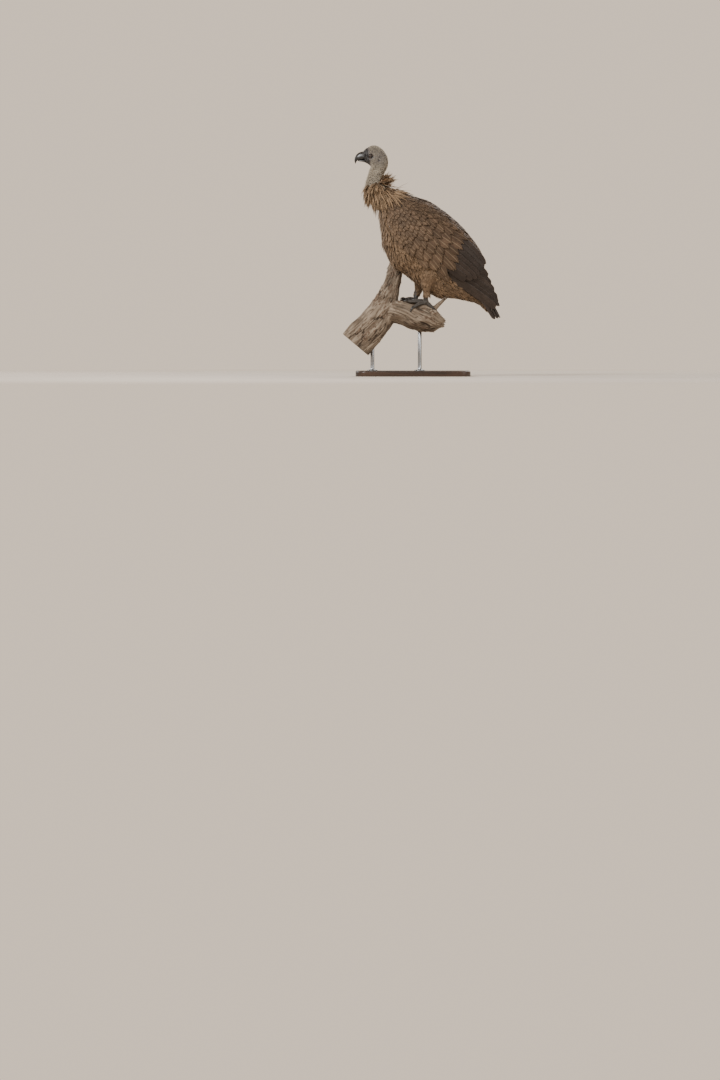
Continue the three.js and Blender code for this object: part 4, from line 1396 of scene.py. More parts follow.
KNOTS = [(0.30, 2.2, 13), (0.52, 4.3, 10), (0.74, 1.0, 9), (0.16, 5.2, 11)]  # share along the limb, angle, radius
STUB_KNOTS = [(0.42, 4.6, 11), (0.66, 3.7, 8)]
WOOD_TUBES = [
    ("limb", LIMB, LIMB_RADII, KNOTS),
    ("stub", STUB, STUB_WIDE, STUB_KNOTS),
    ("twig", TWIG, TWIG_RADII, []),
]


def weather(mesh, depth):
    """Sinks drying cracks and raises knots and splinters, and keeps the wood's grain and marks as attributes."""
    points, normals = points_of(mesh), normals_of(mesh)
    weights, moves, grains, aheads, cuts = ([] for _ in range(5))
    for name, rows, radii, knots in WOOD_TUBES:
        off, share, angle = tube_places(points, (name, rows, radii))
        length, mean = line_length(path(rows, np.linspace(0, 1, 60))), float(np.mean(radii))
        ahead = unit(path(rows, np.minimum(share + 0.01, 1)) - path(rows, np.maximum(share - 0.01, 0)))
        # The exact place along, between the samples of the middle line.
        along = share * length + ((points - path(rows, share)) * ahead).sum(-1)
        twist = angle + along * 0.0035
        grain = np.stack([np.cos(twist) * mean, np.sin(twist) * mean, along], -1)
        aparts = []
        for at, turn, size in knots:
            bend = np.arctan2(np.sin(angle - turn), np.cos(angle - turn)) * mean
            apart = np.hypot(bend, (along - at * length) * 0.62)
            swell = ridge(apart, size * 1.9)
            grain[:, 0] += 7 * swell * np.sign(bend) * np.sin(twist)
            grain[:, 1] -= 7 * swell * np.sign(bend) * np.cos(twist)
            grain[:, 2] += 26 * swell
            aparts.append((apart, size))
        stretched = grain / [8.5, 8.5, 70]
        split = noise(stretched, 11) + 0.35 * noise(stretched * [2.2, 2.2, 1.5], 12)
        hair = noise(grain / [3.4, 3.4, 26], 13)
        crack = ridge(split, 0.10) + 0.45 * ridge(hair, 0.13)
        move = -depth * crack + 0.9 * noise(grain / [12, 12, 42], 14)
        for apart, size in aparts:
            move += (off > 0.55) * (4.2 * ridge(apart - size * 0.75, size * 0.42) - 3.4 * ridge(apart, size * 0.45))
        facing = (normals * ahead).sum(-1)
        moved = normals * move[:, None]
        cut = np.zeros(len(points))
        if name == "limb":
            cut = smooth(-0.6, -0.85, facing) * (along < 14)
            rings = 0.3 * np.sin(off * mean * 2 * np.pi / 3.6 + noise(points / 9, 15))
            rings -= 2.2 * ridge(noise(np.stack([angle * 1.7, off * 0.8, off * 0], -1), 16), 0.05)
            moved = toward(moved, ahead * -rings[:, None], cut[:, None])
        if name != "twig":
            broken = smooth(0.25, 0.8, facing) * (along > length - 16)
            spikes = 15 * np.maximum(0, noise(grain / [4.2, 4.2, 400] + 3.3, 17)) ** 1.2 - 4 * noise(points / 12, 18)
            moved = toward(moved, ahead * spikes[:, None], broken[:, None])
        weights.append(np.exp(-9 * off))
        moves.append(moved)
        grains.append(grain)
        aheads.append(ahead)
        cuts.append(cut * (off < 1.15))
    weights = np.stack(weights) / np.sum(weights, axis=0)
    mixed = lambda parts: (weights[..., None] * np.stack(parts)).sum(0)
    total, grain = mixed(moves), mixed(grains)
    cut = (weights * np.stack(cuts)).sum(0)
    total += normals * (1.9 * layered(points / 40, 19, 2))[:, None] * (1 - cut[:, None])
    # Where the bird grips, its weight has kept the wood smooth.
    gripped = smooth(78, 52, np.hypot(points[:, 0] + 38, points[:, 1] * 0.9)) * smooth(-34, -18, points[:, 2])
    total *= (1 - 0.78 * gripped)[:, None]
    set_points(mesh, points + total)
    depths = np.clip(-(total * normals).sum(-1) / depth, -1, 1)
    for label, values in (("grain", grain * MM), ("ahead", unit(mixed(aheads))), ("crack", depths), ("cut", cut)):
        mark(mesh, label, values)
    return gripped, cut


def flake_places(mesh, gripped, cut, count, seed):
    """Where flakes of old bark still cling, in patches away from the grip and the sawn face."""
    random = np.random.default_rng(seed)
    points, normals = points_of(mesh), normals_of(mesh)
    ahead = read(mesh.attributes["ahead"].data, "vector", 3)
    clinging = (noise(points / 46, 31) > 0.02) & (gripped < 0.05) & (cut < 0.05)
    clinging &= np.abs((normals * ahead).sum(-1)) < 0.4
    clinging &= norm(points - np.array([60, -20, -10])) > 45
    clinging &= ((points - LIMB[0]) * [0.64, 0, 0.77]).sum(-1) > 30
    chosen = random.choice(np.flatnonzero(clinging), count, replace=False)
    out = unit(normals[chosen] + ahead[chosen] * random.normal(0, 0.10, (count, 1)))
    sizes = np.stack([random.uniform(*ends, count) for ends in ((12, 34), (10, 20), (5, 9))], -1)
    return points[chosen] - normals[chosen] * 0.5, out, ahead[chosen] + random.normal(0, 0.08, (count, 3)), sizes


def base_body():
    """The base board: rounded corners, an eased edge, and a fine groove around its top."""
    long, wide, corner = BASE["long"] / 2, BASE["wide"] / 2, BASE["corner"]
    steps = [
        (4.0, 0.0), (1.2, 0.4), (0.3, 1.4), (0.0, 3.0), (0.0, 15.5), (0.3, 17.4), (1.2, 19.4), (2.6, 21.0), (4.4, 21.8),
        (6.5, 22.0), (13.0, 22.0), (13.6, 21.2), (14.4, 21.2), (15.0, 22.0), (30, 22.0), (60, 22.0), (100, 22.0),
    ]
    rings = []
    for inset, height in steps:
        x, y, r = long - inset, wide - inset, max(corner - inset, 6.0)
        ring = []
        for cx, cy, start in ((x - r, y - r, 0), (-x + r, y - r, 90), (-x + r, -y + r, 180), (x - r, -y + r, 270)):
            for a in np.radians(np.linspace(start, start + 90, 17)):
                ring.append((cx + r * math.cos(a) + BASE["middle"], cy + r * math.sin(a), BASE["underside"] + height))
        rings.append(ring)
    return grid_body(np.array(rings))


def turned_body(x, profile, around):
    """A turned body about an upright line, from rows of radius and height."""
    return grid_body(np.array([[(x + r * math.cos(a), r * math.sin(a), z) for a in turns(around)] for r, z in profile]))


def screw_body():
    """A countersunk screw head with a slot, a unit across."""
    profile = [(0.30, -0.3), (0.5, -0.02), (0.5, 0.03), (0.44, 0.10), (0.3, 0.14), (0.12, 0.16)]
    points, faces = turned_body(0, profile, 24)
    slot = np.abs(points[:, 1]) < 0.075
    points[slot & (points[:, 2] > 0.05), 2] -= 0.09
    return points, faces


# ---------------------------------------------------------------- finishes


SHADER_INPUTS = {
    "colour": "Base Color", "rough": "Roughness", "normal": "Normal", "metal": "Metallic",
    "shine": "Specular IOR Level", "coat": "Coat Weight", "coat_rough": "Coat Roughness", "alpha": "Alpha",
    "sheen": "Sheen Weight", "sheen_rough": "Sheen Roughness",
}


class Graph:
    """Short ways to place and link the nodes of one tree."""

    def __init__(self, tree):
        self.tree = tree

    def node(self, kind, inputs=None, **settings):
        made = self.tree.nodes.new(kind)
        for name, value in settings.items():
            setattr(made, name, value)
        for name, value in (inputs or {}).items():
            self.put(made.inputs[name], value)
        return made

    def put(self, socket, value):
        """Links an output to a socket, or sets the socket to a number or to the three numbers of a colour."""
        if isinstance(value, bpy.types.NodeSocket):
            self.tree.links.new(value, socket)
        else:
            socket.default_value = (*value, 1) if socket.type == "RGBA" else value

    def math(self, operation, *values):
        return self.node("ShaderNodeMath", dict(enumerate(values)), operation=operation).outputs[0]

    def add(self, first, second):
        return self.math("ADD", first, second)

    def less(self, first, second):
        return self.math("SUBTRACT", first, second)

    def times(self, first, second):
        return self.math("MULTIPLY", first, second)

    def step(self, value, low, high, to_low=0.0, to_high=1.0):
        inputs = {"Value": value, "From Min": low, "From Max": high, "To Min": to_low, "To Max": to_high}
        return self.node("ShaderNodeMapRange", inputs, interpolation_type="SMOOTHSTEP").outputs[0]

    def noise(self, vector, scale, detail=3.0, rough=0.55, twist=0.0):
        """Noise of one scale, or of its own scale along x, y and z."""
        if isinstance(scale, tuple):
            vector, scale = self.stretched(vector, scale), 1.0
        inputs = {"Vector": vector, "Scale": scale, "Detail": detail, "Roughness": rough, "Distortion": twist}
        return self.node("ShaderNodeTexNoise", inputs).outputs["Fac"]

    def cells(self, vector, scale):
        return self.node("ShaderNodeTexVoronoi", {"Vector": vector, "Scale": scale}).outputs["Distance"]

    def mix(self, factor, first, second):
        return self.node("ShaderNodeMix", {0: factor, 6: first, 7: second}, data_type="RGBA").outputs[2]

    def shade(self, colour, amount):
        """A colour made lighter or darker by a value around one."""
        return self.node("ShaderNodeVectorMath", {0: colour, "Scale": amount}, operation="SCALE").outputs[0]

    def stretched(self, vector, scale, place=(0, 0, 0)):
        return self.node("ShaderNodeMapping", {"Vector": vector, "Scale": scale, "Location": place}).outputs[0]

    def millimetres(self, place, origin):
        """Object coordinates as millimetres from an origin."""
        return self.stretched(place, (1000, 1000, 1000), tuple(-c for c in origin))

    def split(self, vector):
        return self.node("ShaderNodeSeparateXYZ", {"Vector": vector}).outputs

    def attribute(self, name, output="Fac"):
        return self.node("ShaderNodeAttribute", attribute_name=name).outputs[output]

    def group(self, tree, inputs):
        return self.node("ShaderNodeGroup", inputs, node_tree=tree).outputs

    def joined(self, x, y):
        return self.node("ShaderNodeCombineXYZ", {0: x, 1: y}).outputs[0]

    def length(self, vector):
        return self.node("ShaderNodeVectorMath", {0: vector}, operation="LENGTH").outputs["Value"]

    def bump(self, height, distance, strength):
        return self.node("ShaderNodeBump", {"Height": height, "Distance": distance, "Strength": strength}).outputs[0]

    def shader(self, **values):
        """Sets the material's own shader."""
        shader = next(n for n in self.tree.nodes if n.type == "BSDF_PRINCIPLED")
        for key, value in values.items():
            self.put(shader.inputs[SHADER_INPUTS[key]], value)


def linear(red, green, blue):
    """A colour of the screen, 0 to 255, as the linear numbers that shaders take."""
    parts = [c / 255 for c in (red, green, blue)]
    return tuple(c / 12.92 if c <= 0.04045 else ((c + 0.055) / 1.055) ** 2.4 for c in parts)


def finish_of(name):
    """A new material with its graph and its object coordinates."""
    made = bpy.data.materials.new(name)
    made.use_nodes = True
    graph = Graph(made.node_tree)
    return made, graph, graph.node("ShaderNodeTexCoord").outputs["Object"]


def new_group(name, inputs, outputs):
    tree = bpy.data.node_groups.new(name, "ShaderNodeTree")
    for way, sockets in (("INPUT", inputs), ("OUTPUT", outputs)):
        for label, kind in sockets.items():
            tree.interface.new_socket(label, in_out=way, socket_type="NodeSocket" + kind)
    graph = Graph(tree)
    return tree, graph, graph.node("NodeGroupInput").outputs, graph.node("NodeGroupOutput").inputs


def markings_group():
    """The bird's markings over its whole body: paler below, darker above, mottled, for skin and coat alike."""
    name = "Body markings"
    if name in bpy.data.node_groups:
        return bpy.data.node_groups[name]
    tree, g, start, end = new_group(
        name,
        {"Place": "Vector", "Under": "Color", "Upper": "Color"},
        {"Colour": "Color", "Back": "Float"},
    )
    x, _, z = g.split(start["Place"])
    height = g.add(g.times(x, 0.70), g.times(z, 0.71))
    height = g.add(height, g.times(g.noise(start["Place"], 14, 2), 0.06))
    back = g.step(height, 0.36, 0.56)
    mottle = g.noise(start["Place"], 38, 3, 0.6)
    colour = g.mix(back, start["Under"], start["Upper"])
    colour = g.shade(colour, g.step(mottle, 0.25, 0.75, 0.78, 1.2))
    g.put(end["Colour"], colour)
    g.put(end["Back"], back)
    return tree


def vane_group():
    """What every vane has: its shaft, a pale streak along it, a worn fringe, and fine barbs."""
    name = "Vane"
    if name in bpy.data.node_groups:
        return bpy.data.node_groups[name]
    tree, g, start, end = new_group(
        name,
        {"Streak": "Float", "Barbs": "Float"},
        dict.fromkeys(("Shaft", "Streak", "Fringe", "Root", "Barb height", "Barb shade"), "Float"),
    )
    uv = g.node("ShaderNodeUVMap", uv_map="Vane").outputs[0]
    u, v, _ = g.split(uv)
    across = g.math("ABSOLUTE", g.less(g.times(u, 2.0), 1.0))
    g.put(end["Shaft"], g.step(across, 0.05, 0.11, 1.0, 0.0))
    width = g.times(start["Streak"], g.step(v, 0.15, 0.85, 0.35, 1.0))
    ratio = g.math("DIVIDE", across, g.add(width, 0.001))
    g.put(end["Streak"], g.step(ratio, 0.45, 1.25, 1.0, 0.0))
    g.put(end["Fringe"], g.math("MAXIMUM", g.step(across, 0.72, 0.98), g.step(v, 0.9, 1.0)))
    g.put(end["Root"], g.step(v, 0.10, 0.42, 1.0, 0.0))
    wave = g.less(g.times(v, start["Barbs"]), g.times(across, 7.0))
    lines = g.math("SINE", wave)
    tear = g.noise(uv, (3.0, 24.0, 1.0), 2)
    g.put(end["Barb height"], g.add(g.times(lines, 0.35), g.times(tear, 0.9)))
    slant = g.joined(g.times(across, 1.2), g.times(wave, 0.11))
    g.put(end["Barb shade"], g.step(g.noise(slant, 1.0, 3, 0.6), 0.3, 0.7, 0.80, 1.16))
    return tree


def feather_finish(
    name, under, upper, shaft, streak, streak_share, fringe, barbs=480.0, spread=0.2, rough=0.66, root=None
):
    """A feather's finish: the body's markings, with each vane's own streak, fringe, root and tone."""
    made, g, place = finish_of(name)
    body = g.group(markings_group(), {"Place": place, "Under": under, "Upper": upper})
    vane = g.group(vane_group(), {"Streak": streak, "Barbs": barbs})
    tone = g.attribute("tone")
    colour = g.shade(body["Colour"], g.step(tone, 0.0, 1.0, 1 - spread, 1 + spread))
    colour = g.mix(g.times(vane["Fringe"], fringe), colour, shaft)
    strength = g.times(vane["Streak"], g.step(tone, 0.0, 1.0, streak_share * 0.65, streak_share))
    colour = g.mix(strength, colour, shaft)
    colour = g.mix(g.times(vane["Shaft"], 0.6), colour, g.shade(colour, 0.6))
    colour = g.shade(colour, vane["Barb shade"])
    base = root or tuple(c * 0.7 for c in under)
    colour = g.mix(g.times(vane["Root"], 0.65), colour, base)
    normal = g.bump(vane["Barb height"], 0.00012, 0.6)
    g.shader(colour=colour, rough=rough, shine=0.2, normal=normal, sheen=0.04, sheen_rough=0.5)
    return made


def down_finish(pale, grey):
    made, g, place = finish_of("Down")
    uv = g.node("ShaderNodeUVMap", uv_map="Vane").outputs[0]
    v = g.split(uv)[1]
    tone = g.attribute("tone")
    patch = g.noise(place, 42, 2)
    colour = g.mix(g.step(g.add(tone, g.times(patch, 0.8)), 0.35, 1.2), grey, pale)
    colour = g.mix(g.step(v, 0.0, 0.7, 0.75, 0.0), colour, g.shade(colour, 0.45))
    g.shader(colour=colour, rough=0.85, shine=0.15, sheen=0.25, sheen_rough=0.5)
    return made


def skin_finish(bare, cere, leg, down, under, upper):
    """Bare face and neck, a smooth dark cere and lids, grey legs, and the body's markings under its coat."""
    made, g, place = finish_of("Skin")
    x, y, z = g.split(g.millimetres(place, ORIGIN))
    body = g.group(markings_group(), {"Place": place, "Under": under, "Upper": upper})
    blotch = g.noise(place, 70, 4, 0.6)
    fine = g.noise(place, 420, 3, 0.6)
    pebble = g.cells(place, 820)
    face = g.mix(g.step(blotch, 0.3, 0.7), g.shade(bare, 0.72), g.shade(bare, 1.35))
    face = g.shade(face, g.step(pebble, 0.0, 0.7, 1.15, 0.8))
    front = g.add(x, g.times(g.less(z, 590.0), 0.16))
    cere_mask = g.step(front, -245.0, -242.0, 1.0, 0.0)
    head = g.mix(cere_mask, face, g.shade(cere, g.step(fine, 0.3, 0.7, 0.8, 1.25)))
    ring = g.math("SQRT", g.add(g.math("POWER", g.less(x, EYE["x"]), 2.0), g.math("POWER", g.less(z, EYE["z"]), 2.0)))
    lid = g.times(g.step(ring, 10.5, 8.4), g.step(g.math("ABSOLUTE", y), 18.0, 22.0))
    head = g.mix(g.times(lid, 0.7), head, g.shade(cere, 0.9))
    head = g.mix(g.step(z, 556.0, 530.0, 0.0, 0.45), head, g.shade(down, 0.55))
    feathered = g.mix(0.5, body["Colour"], g.shade(bare, 1.5))
    shank = g.mix(g.step(pebble, 0.05, 0.6), g.shade(leg, 1.25), g.shade(leg, 0.55))
    colour = g.mix(g.step(z, 450.0, 480.0), feathered, head)
    colour = g.mix(g.step(z, 44.0, 36.0), colour, shank)
    height = g.add(g.times(pebble, -0.8), g.times(fine, 0.7))
    rough = g.add(g.step(blotch, 0.3, 0.7, 0.52, 0.66), g.times(cere_mask, -0.14))
    g.shader(colour=colour, rough=rough, shine=0.4, normal=g.bump(height, 0.0005, 0.6))
    return made


def leg_finish(leg):
    made, g, place = finish_of("Scutes")
    fine, blotch = g.noise(place, 600, 3), g.noise(place, 120, 3)
    colour = g.mix(g.step(blotch, 0.3, 0.7), g.shade(leg, 0.7), g.shade(leg, 1.5))
    g.shader(colour=colour, rough=g.step(fine, 0.3, 0.7, 0.42, 0.62), shine=0.45, normal=g.bump(fine, 0.0003, 0.5))
    return made


def horn_finish(name, horn, worn, gloss):
    """Dark horn with growth lines across it in the paler colour of worn horn, and fine scratches."""
    made, g, place = finish_of(name)
    growth = g.noise(place, (520, 60, 60), 3, 0.6)
    scratch = g.noise(place, (90, 900, 900), 3, 0.6)
    colour = g.mix(g.step(growth, 0.42, 0.72, 0.0, 0.35), horn, worn)
    colour = g.shade(colour, g.step(scratch, 0.3, 0.75, 0.8, 1.25))
    rough = g.step(scratch, 0.3, 0.7, gloss, gloss + 0.18)
    height = g.add(growth, g.times(scratch, 0.35))
    g.shader(colour=colour, rough=rough, shine=0.5, normal=g.bump(height, 0.0004, 0.45), coat=0.25, coat_rough=0.2)
    return made


def eye_finish(iris):
    """A dark brown iris with fine spokes round a black pupil, under a wet clear front."""
    made, g, place = finish_of("Eye")
    x, _, z = g.split(g.millimetres(place, ORIGIN))
    dx, dz = g.less(x, EYE["x"]), g.less(z, EYE["z"])
    ring = g.math("SQRT", g.add(g.times(dx, dx), g.times(dz, dz)))
    turn = g.math("ARCTAN2", dz, dx)
    spokes = g.noise(g.joined(g.times(turn, 9.0), g.times(ring, 0.6)), 1.0, 3)
    colour = g.shade(iris, g.step(spokes, 0.3, 0.7, 0.55, 1.6))
    colour = g.mix(g.step(ring, 4.6, 6.4), colour, (0.004, 0.003, 0.003))
    colour = g.mix(g.step(ring, 2.9, 3.3), (0.001, 0.001, 0.001), colour)
    g.shader(colour=colour, rough=0.3, shine=0.15, coat=1.0, coat_rough=0.02)
    return made


def wood_finish(name, pale, dark, sawn=None, flakes=False):
    """Weathered wood: grey ridges, painted shade in the cracks, long grain, and rings on a sawn face."""
    made, g, place = finish_of(name)
    grain = place if flakes else g.attribute("grain", "Vector")
    long = g.noise(grain, (170, 170, 14), 5, 0.62, 0.4)
    hair = g.noise(grain, (700, 700, 40), 3, 0.6)
    patch = g.noise(place, 17, 4, 0.6)
    colour = g.mix(g.step(long, 0.32, 0.68), dark, pale)
    colour = g.mix(g.step(patch, 0.45, 0.72, 0.0, 0.6), colour, g.shade(dark, 1.25))
    colour = g.shade(colour, g.step(hair, 0.3, 0.7, 0.78, 1.2))
    height = g.add(long, g.times(hair, 0.5))
    if not flakes:
        crack = g.attribute("crack")
        # Painted shade: the wood is darkened where the cracks sink in. Where the surface stands out it is made paler.
        colour = g.mix(g.step(crack, 0.15, 0.85, 0.0, 0.85), colour, g.shade(dark, 0.28))
        colour = g.mix(g.step(crack, 0.0, -0.5, 0.0, 0.35), colour, g.shade(pale, 1.25))
    if sawn:
        cut = g.attribute("cut")
        middle = g.millimetres(place, LIMB[0] + ORIGIN)
        away = g.length(middle)
        away = g.add(away, g.times(g.noise(place, 30, 2), 9.0))
        rings = g.math("SINE", g.times(away, 1.1))
        face = g.mix(g.step(rings, -0.6, 0.9), sawn, g.shade(sawn, 0.45))
        face = g.mix(g.step(away, 50.0, 66.0, 0.0, 0.7), face, g.shade(dark, 0.8))
        colour = g.mix(g.step(cut, 0.3, 0.7), colour, face)
    g.shader(colour=colour, rough=g.step(patch, 0.3, 0.7, 0.78, 0.93), shine=0.2, normal=g.bump(height, 0.0012, 0.7))
    return made


def board_finish(light, dark):
    """Stained and waxed hardwood with its grain along the base."""
    made, g, place = finish_of("Base board")
    bands = g.noise(place, (2.2, 22, 22), 3, 0.5, 1.2)
    pores = g.noise(place, (45, 900, 900), 3, 0.6)
    colour = g.mix(g.step(bands, 0.35, 0.65), dark, light)
    colour = g.shade(colour, g.step(pores, 0.35, 0.65, 0.72, 1.15))
    rough = g.step(pores, 0.3, 0.7, 0.46, 0.32)
    g.shader(colour=colour, rough=rough, shine=0.45, normal=g.bump(pores, 0.0002, 0.35), coat=0.2, coat_rough=0.25)
    return made


def steel_finish(tint):
    made, g, place = finish_of("Brushed steel")
    brush = g.noise(place, (60, 60, 1600), 3, 0.6)
    smudge = g.noise(place, 40, 3)
    colour = g.shade(tint, g.step(brush, 0.3, 0.7, 0.85, 1.1))
    rough = g.add(g.step(brush, 0.3, 0.7, 0.24, 0.36), g.times(smudge, 0.1))
    g.shader(colour=colour, rough=rough, metal=1.0, normal=g.bump(brush, 0.0001, 0.3))
    return made


def floor_finish(pale, near, far):
    """A pale floor that fades out before its edge."""
    made, g, place = finish_of("Floor")
    away = g.length(place)
    colour = g.shade(pale, g.step(g.noise(place, 3, 3), 0.3, 0.7, 0.97, 1.02))
    g.shader(colour=colour, rough=0.9, shine=0.1, alpha=g.step(away, near, far, 1.0, 0.0))
    return made


# ---------------------------------------------------------------- settings


def colour_setting(name, description, *screen):
    return bpy.props.FloatVectorProperty(
        name=name, description=description, subtype="COLOR", size=3, min=0, max=1, default=linear(*screen)
    )


def length_setting(name, description, value):
    return bpy.props.FloatProperty(
        name=name, description=description, subtype="DISTANCE", unit="LENGTH", default=value, min=0
    )


class VulturePlumage(bpy.types.PropertyGroup):
    under: colour_setting("Underparts", "Ground colour of the breast and belly", 116, 95, 74)
    upper: colour_setting("Upperparts", "Ground colour of the back and the wing coverts", 80, 63, 49)
    shaft: colour_setting("Shaft streaks", "Colour of the pale streak and fringe of a feather", 182, 160, 130)
    ruff: colour_setting("Ruff", "Ground colour of the long feathers of the ruff", 122, 98, 74)
    flight: colour_setting("Flight feathers", "Colour of the wing quills and the tail", 56, 47, 41)
    down: colour_setting("Down", "Colour of the short down on the head and neck", 200, 188, 168)
    coat_depth: length_setting("Coat depth", "How far the skin of the trunk lies under the feathers' tips", 0.012)
    contour_length: length_setting("Breast feather length", "Length of a feather on the upper breast", 0.044)
    ruff_length: length_setting("Ruff feather length", "Length of a long feather of the ruff", 0.074)
    down_length: length_setting("Down length", "Length of a tuft of down on the crown", 0.0054)


class VultureBareParts(bpy.types.PropertyGroup):
    skin: colour_setting("Face and neck", "Colour of the bare skin of the face and neck", 86, 80, 77)
    cere: colour_setting("Cere", "Colour of the cere and the rims of the lids", 38, 35, 34)
    leg: colour_setting("Legs", "Colour of the shanks and toes", 84, 79, 74)
    horn: colour_setting("Horn", "Colour of the bill and claws", 24, 22, 21)
    worn_horn: colour_setting("Worn horn", "Colour of the bill and claws where they are worn", 78, 71, 64)
    iris: colour_setting("Iris", "Colour of the iris", 58, 34, 18)


class VulturePerch(bpy.types.PropertyGroup):
    pale: colour_setting("Weathered wood", "Colour of the wood's bleached ridges", 158, 143, 125)
    dark: colour_setting("Shaded wood", "Colour of the wood's darker grain", 92, 78, 65)
    sawn: colour_setting("Sawn wood", "Colour of the sawn end", 160, 134, 104)
    bark: colour_setting("Bark", "Colour of the flakes of bark that still cling", 108, 90, 75)
    crack_depth: length_setting("Crack depth", "Depth of the drying cracks", 0.0026)
    flakes: bpy.props.IntProperty(name="Bark flakes", description="Number of flakes of bark", default=420, min=0)


class VultureStand(bpy.types.PropertyGroup):
    board: colour_setting("Base board", "Lighter colour of the stained board", 74, 54, 42)
    board_dark: colour_setting("Board grain", "Darker colour of the stained board", 38, 28, 23)
    steel: colour_setting("Steel", "Colour of the rods and their flanges", 168, 170, 172)


class VultureStage(bpy.types.PropertyGroup):
    floor: colour_setting("Floor", "Colour of the floor", 219, 209, 197)
    air: colour_setting("Surroundings", "Colour of the light all round", 226, 208, 188)
    lens: bpy.props.FloatProperty(
        name="Lens", description="Focal length of the camera", default=243.9, min=1, unit="CAMERA"
    )
    distance: length_setting("Camera distance", "Distance from the camera to the bird's middle plane", 30.0)


SETTINGS = {
    "plumage": VulturePlumage,
    "bare": VultureBareParts,
    "perch": VulturePerch,
    "stand": VultureStand,
    "stage": VultureStage,
}

# ---------------------------------------------------------------- operators

FLESH = ["head", "neck", "trunk"]
BUILT = {}  # meshes that later operators stand feathers on


def nodes_like(*starts):
    return [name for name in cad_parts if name.startswith(starts)]


class BuildSkin(bpy.types.Operator):
    """Build the one skin under the coat, with its face, neck folds and feet"""

    bl_idname = "vulture.skin"
    bl_label = "Skin"

    def execute(self, context):
        plumage, bare = context.scene.vulture_plumage, context.scene.vulture_bare
        depth = plumage.coat_depth / MM
        mesh = united("skin", trunk_skin(depth, 0.6 * depth, 9.0), [head_skin(0.7), leg_skin()])
        unwrap_skin(mesh)
        finish = skin_finish(
            bare.skin[:], bare.cere[:], bare.leg[:], plumage.down[:], plumage.under[:], plumage.upper[:]
        )
        mesh.materials.clear()
        made = finished_mesh("skin", mesh, finish)
        settle(made, "face_skin", *FLESH, *nodes_like("thigh", "tarsus", "toe"))
        BUILT["skin"] = mesh
        return {"FINISHED"}


class BuildDown(bpy.types.Operator):
    """Stand the short down on the head and neck"""

    bl_idname = "vulture.down"
    bl_label = "Down"

    def execute(self, context):
        plumage = context.scene.vulture_plumage
        skin, length = Skin(BUILT["skin"]), plumage.down_length / MM
        finish = down_finish(plumage.down[:], tuple(0.42 * c for c in plumage.down))
        coat = Coat(11)
        root, normal, ahead, sizes = head_down(skin, coat.random, length, 0.98)
        tufts(coat, root, normal, ahead, sizes, 0.33, 0.22 - 0.09 * smooth(0.6, 1.0, normal[:, 2]))
        settle(coat.build("down_head", finish), "face_skin")
        coat = Coat(12)
        root, normal, ahead, sizes = neck_down(skin, coat.random, 1.35 * length, 1.43)
        tufts(coat, root, normal, ahead, sizes, 0.5, 0.30, 4)
        settle(coat.build("down_neck", finish), "face_skin")
        return {"FINISHED"}


class BuildRuff(bpy.types.Operator):
    """Hang the long narrow feathers of the ruff round the base of the neck"""

    bl_idname = "vulture.ruff"
    bl_label = "Ruff"

    def execute(self, context):
        plumage = context.scene.vulture_plumage
        coat = Coat(21)
        spine, ups = ruff_lines(coat.random, RUFF_FEATHERS, plumage.ruff_length / MM)
        half = half_widths("pointed", 9, coat.random.uniform(2.4, 4.8, len(spine)), coat.random, 0.16)
        coat.add(spine, ups, half, CONTOUR_SECTION, 0.4, coat.random.uniform(0.1, 0.35, len(spine)), rough=0.14)
        finish = feather_finish(
            "Ruff feathers", plumage.ruff[:], plumage.ruff[:], plumage.shaft[:],
            streak=0.4, streak_share=0.6, fringe=0.1, barbs=420, spread=0.42, rough=0.75,
            root=tuple(0.5 * c for c in plumage.ruff),
        )
        settle(coat.build("ruff_feathers", finish), "ruff_feathers", "ruff")
        return {"FINISHED"}


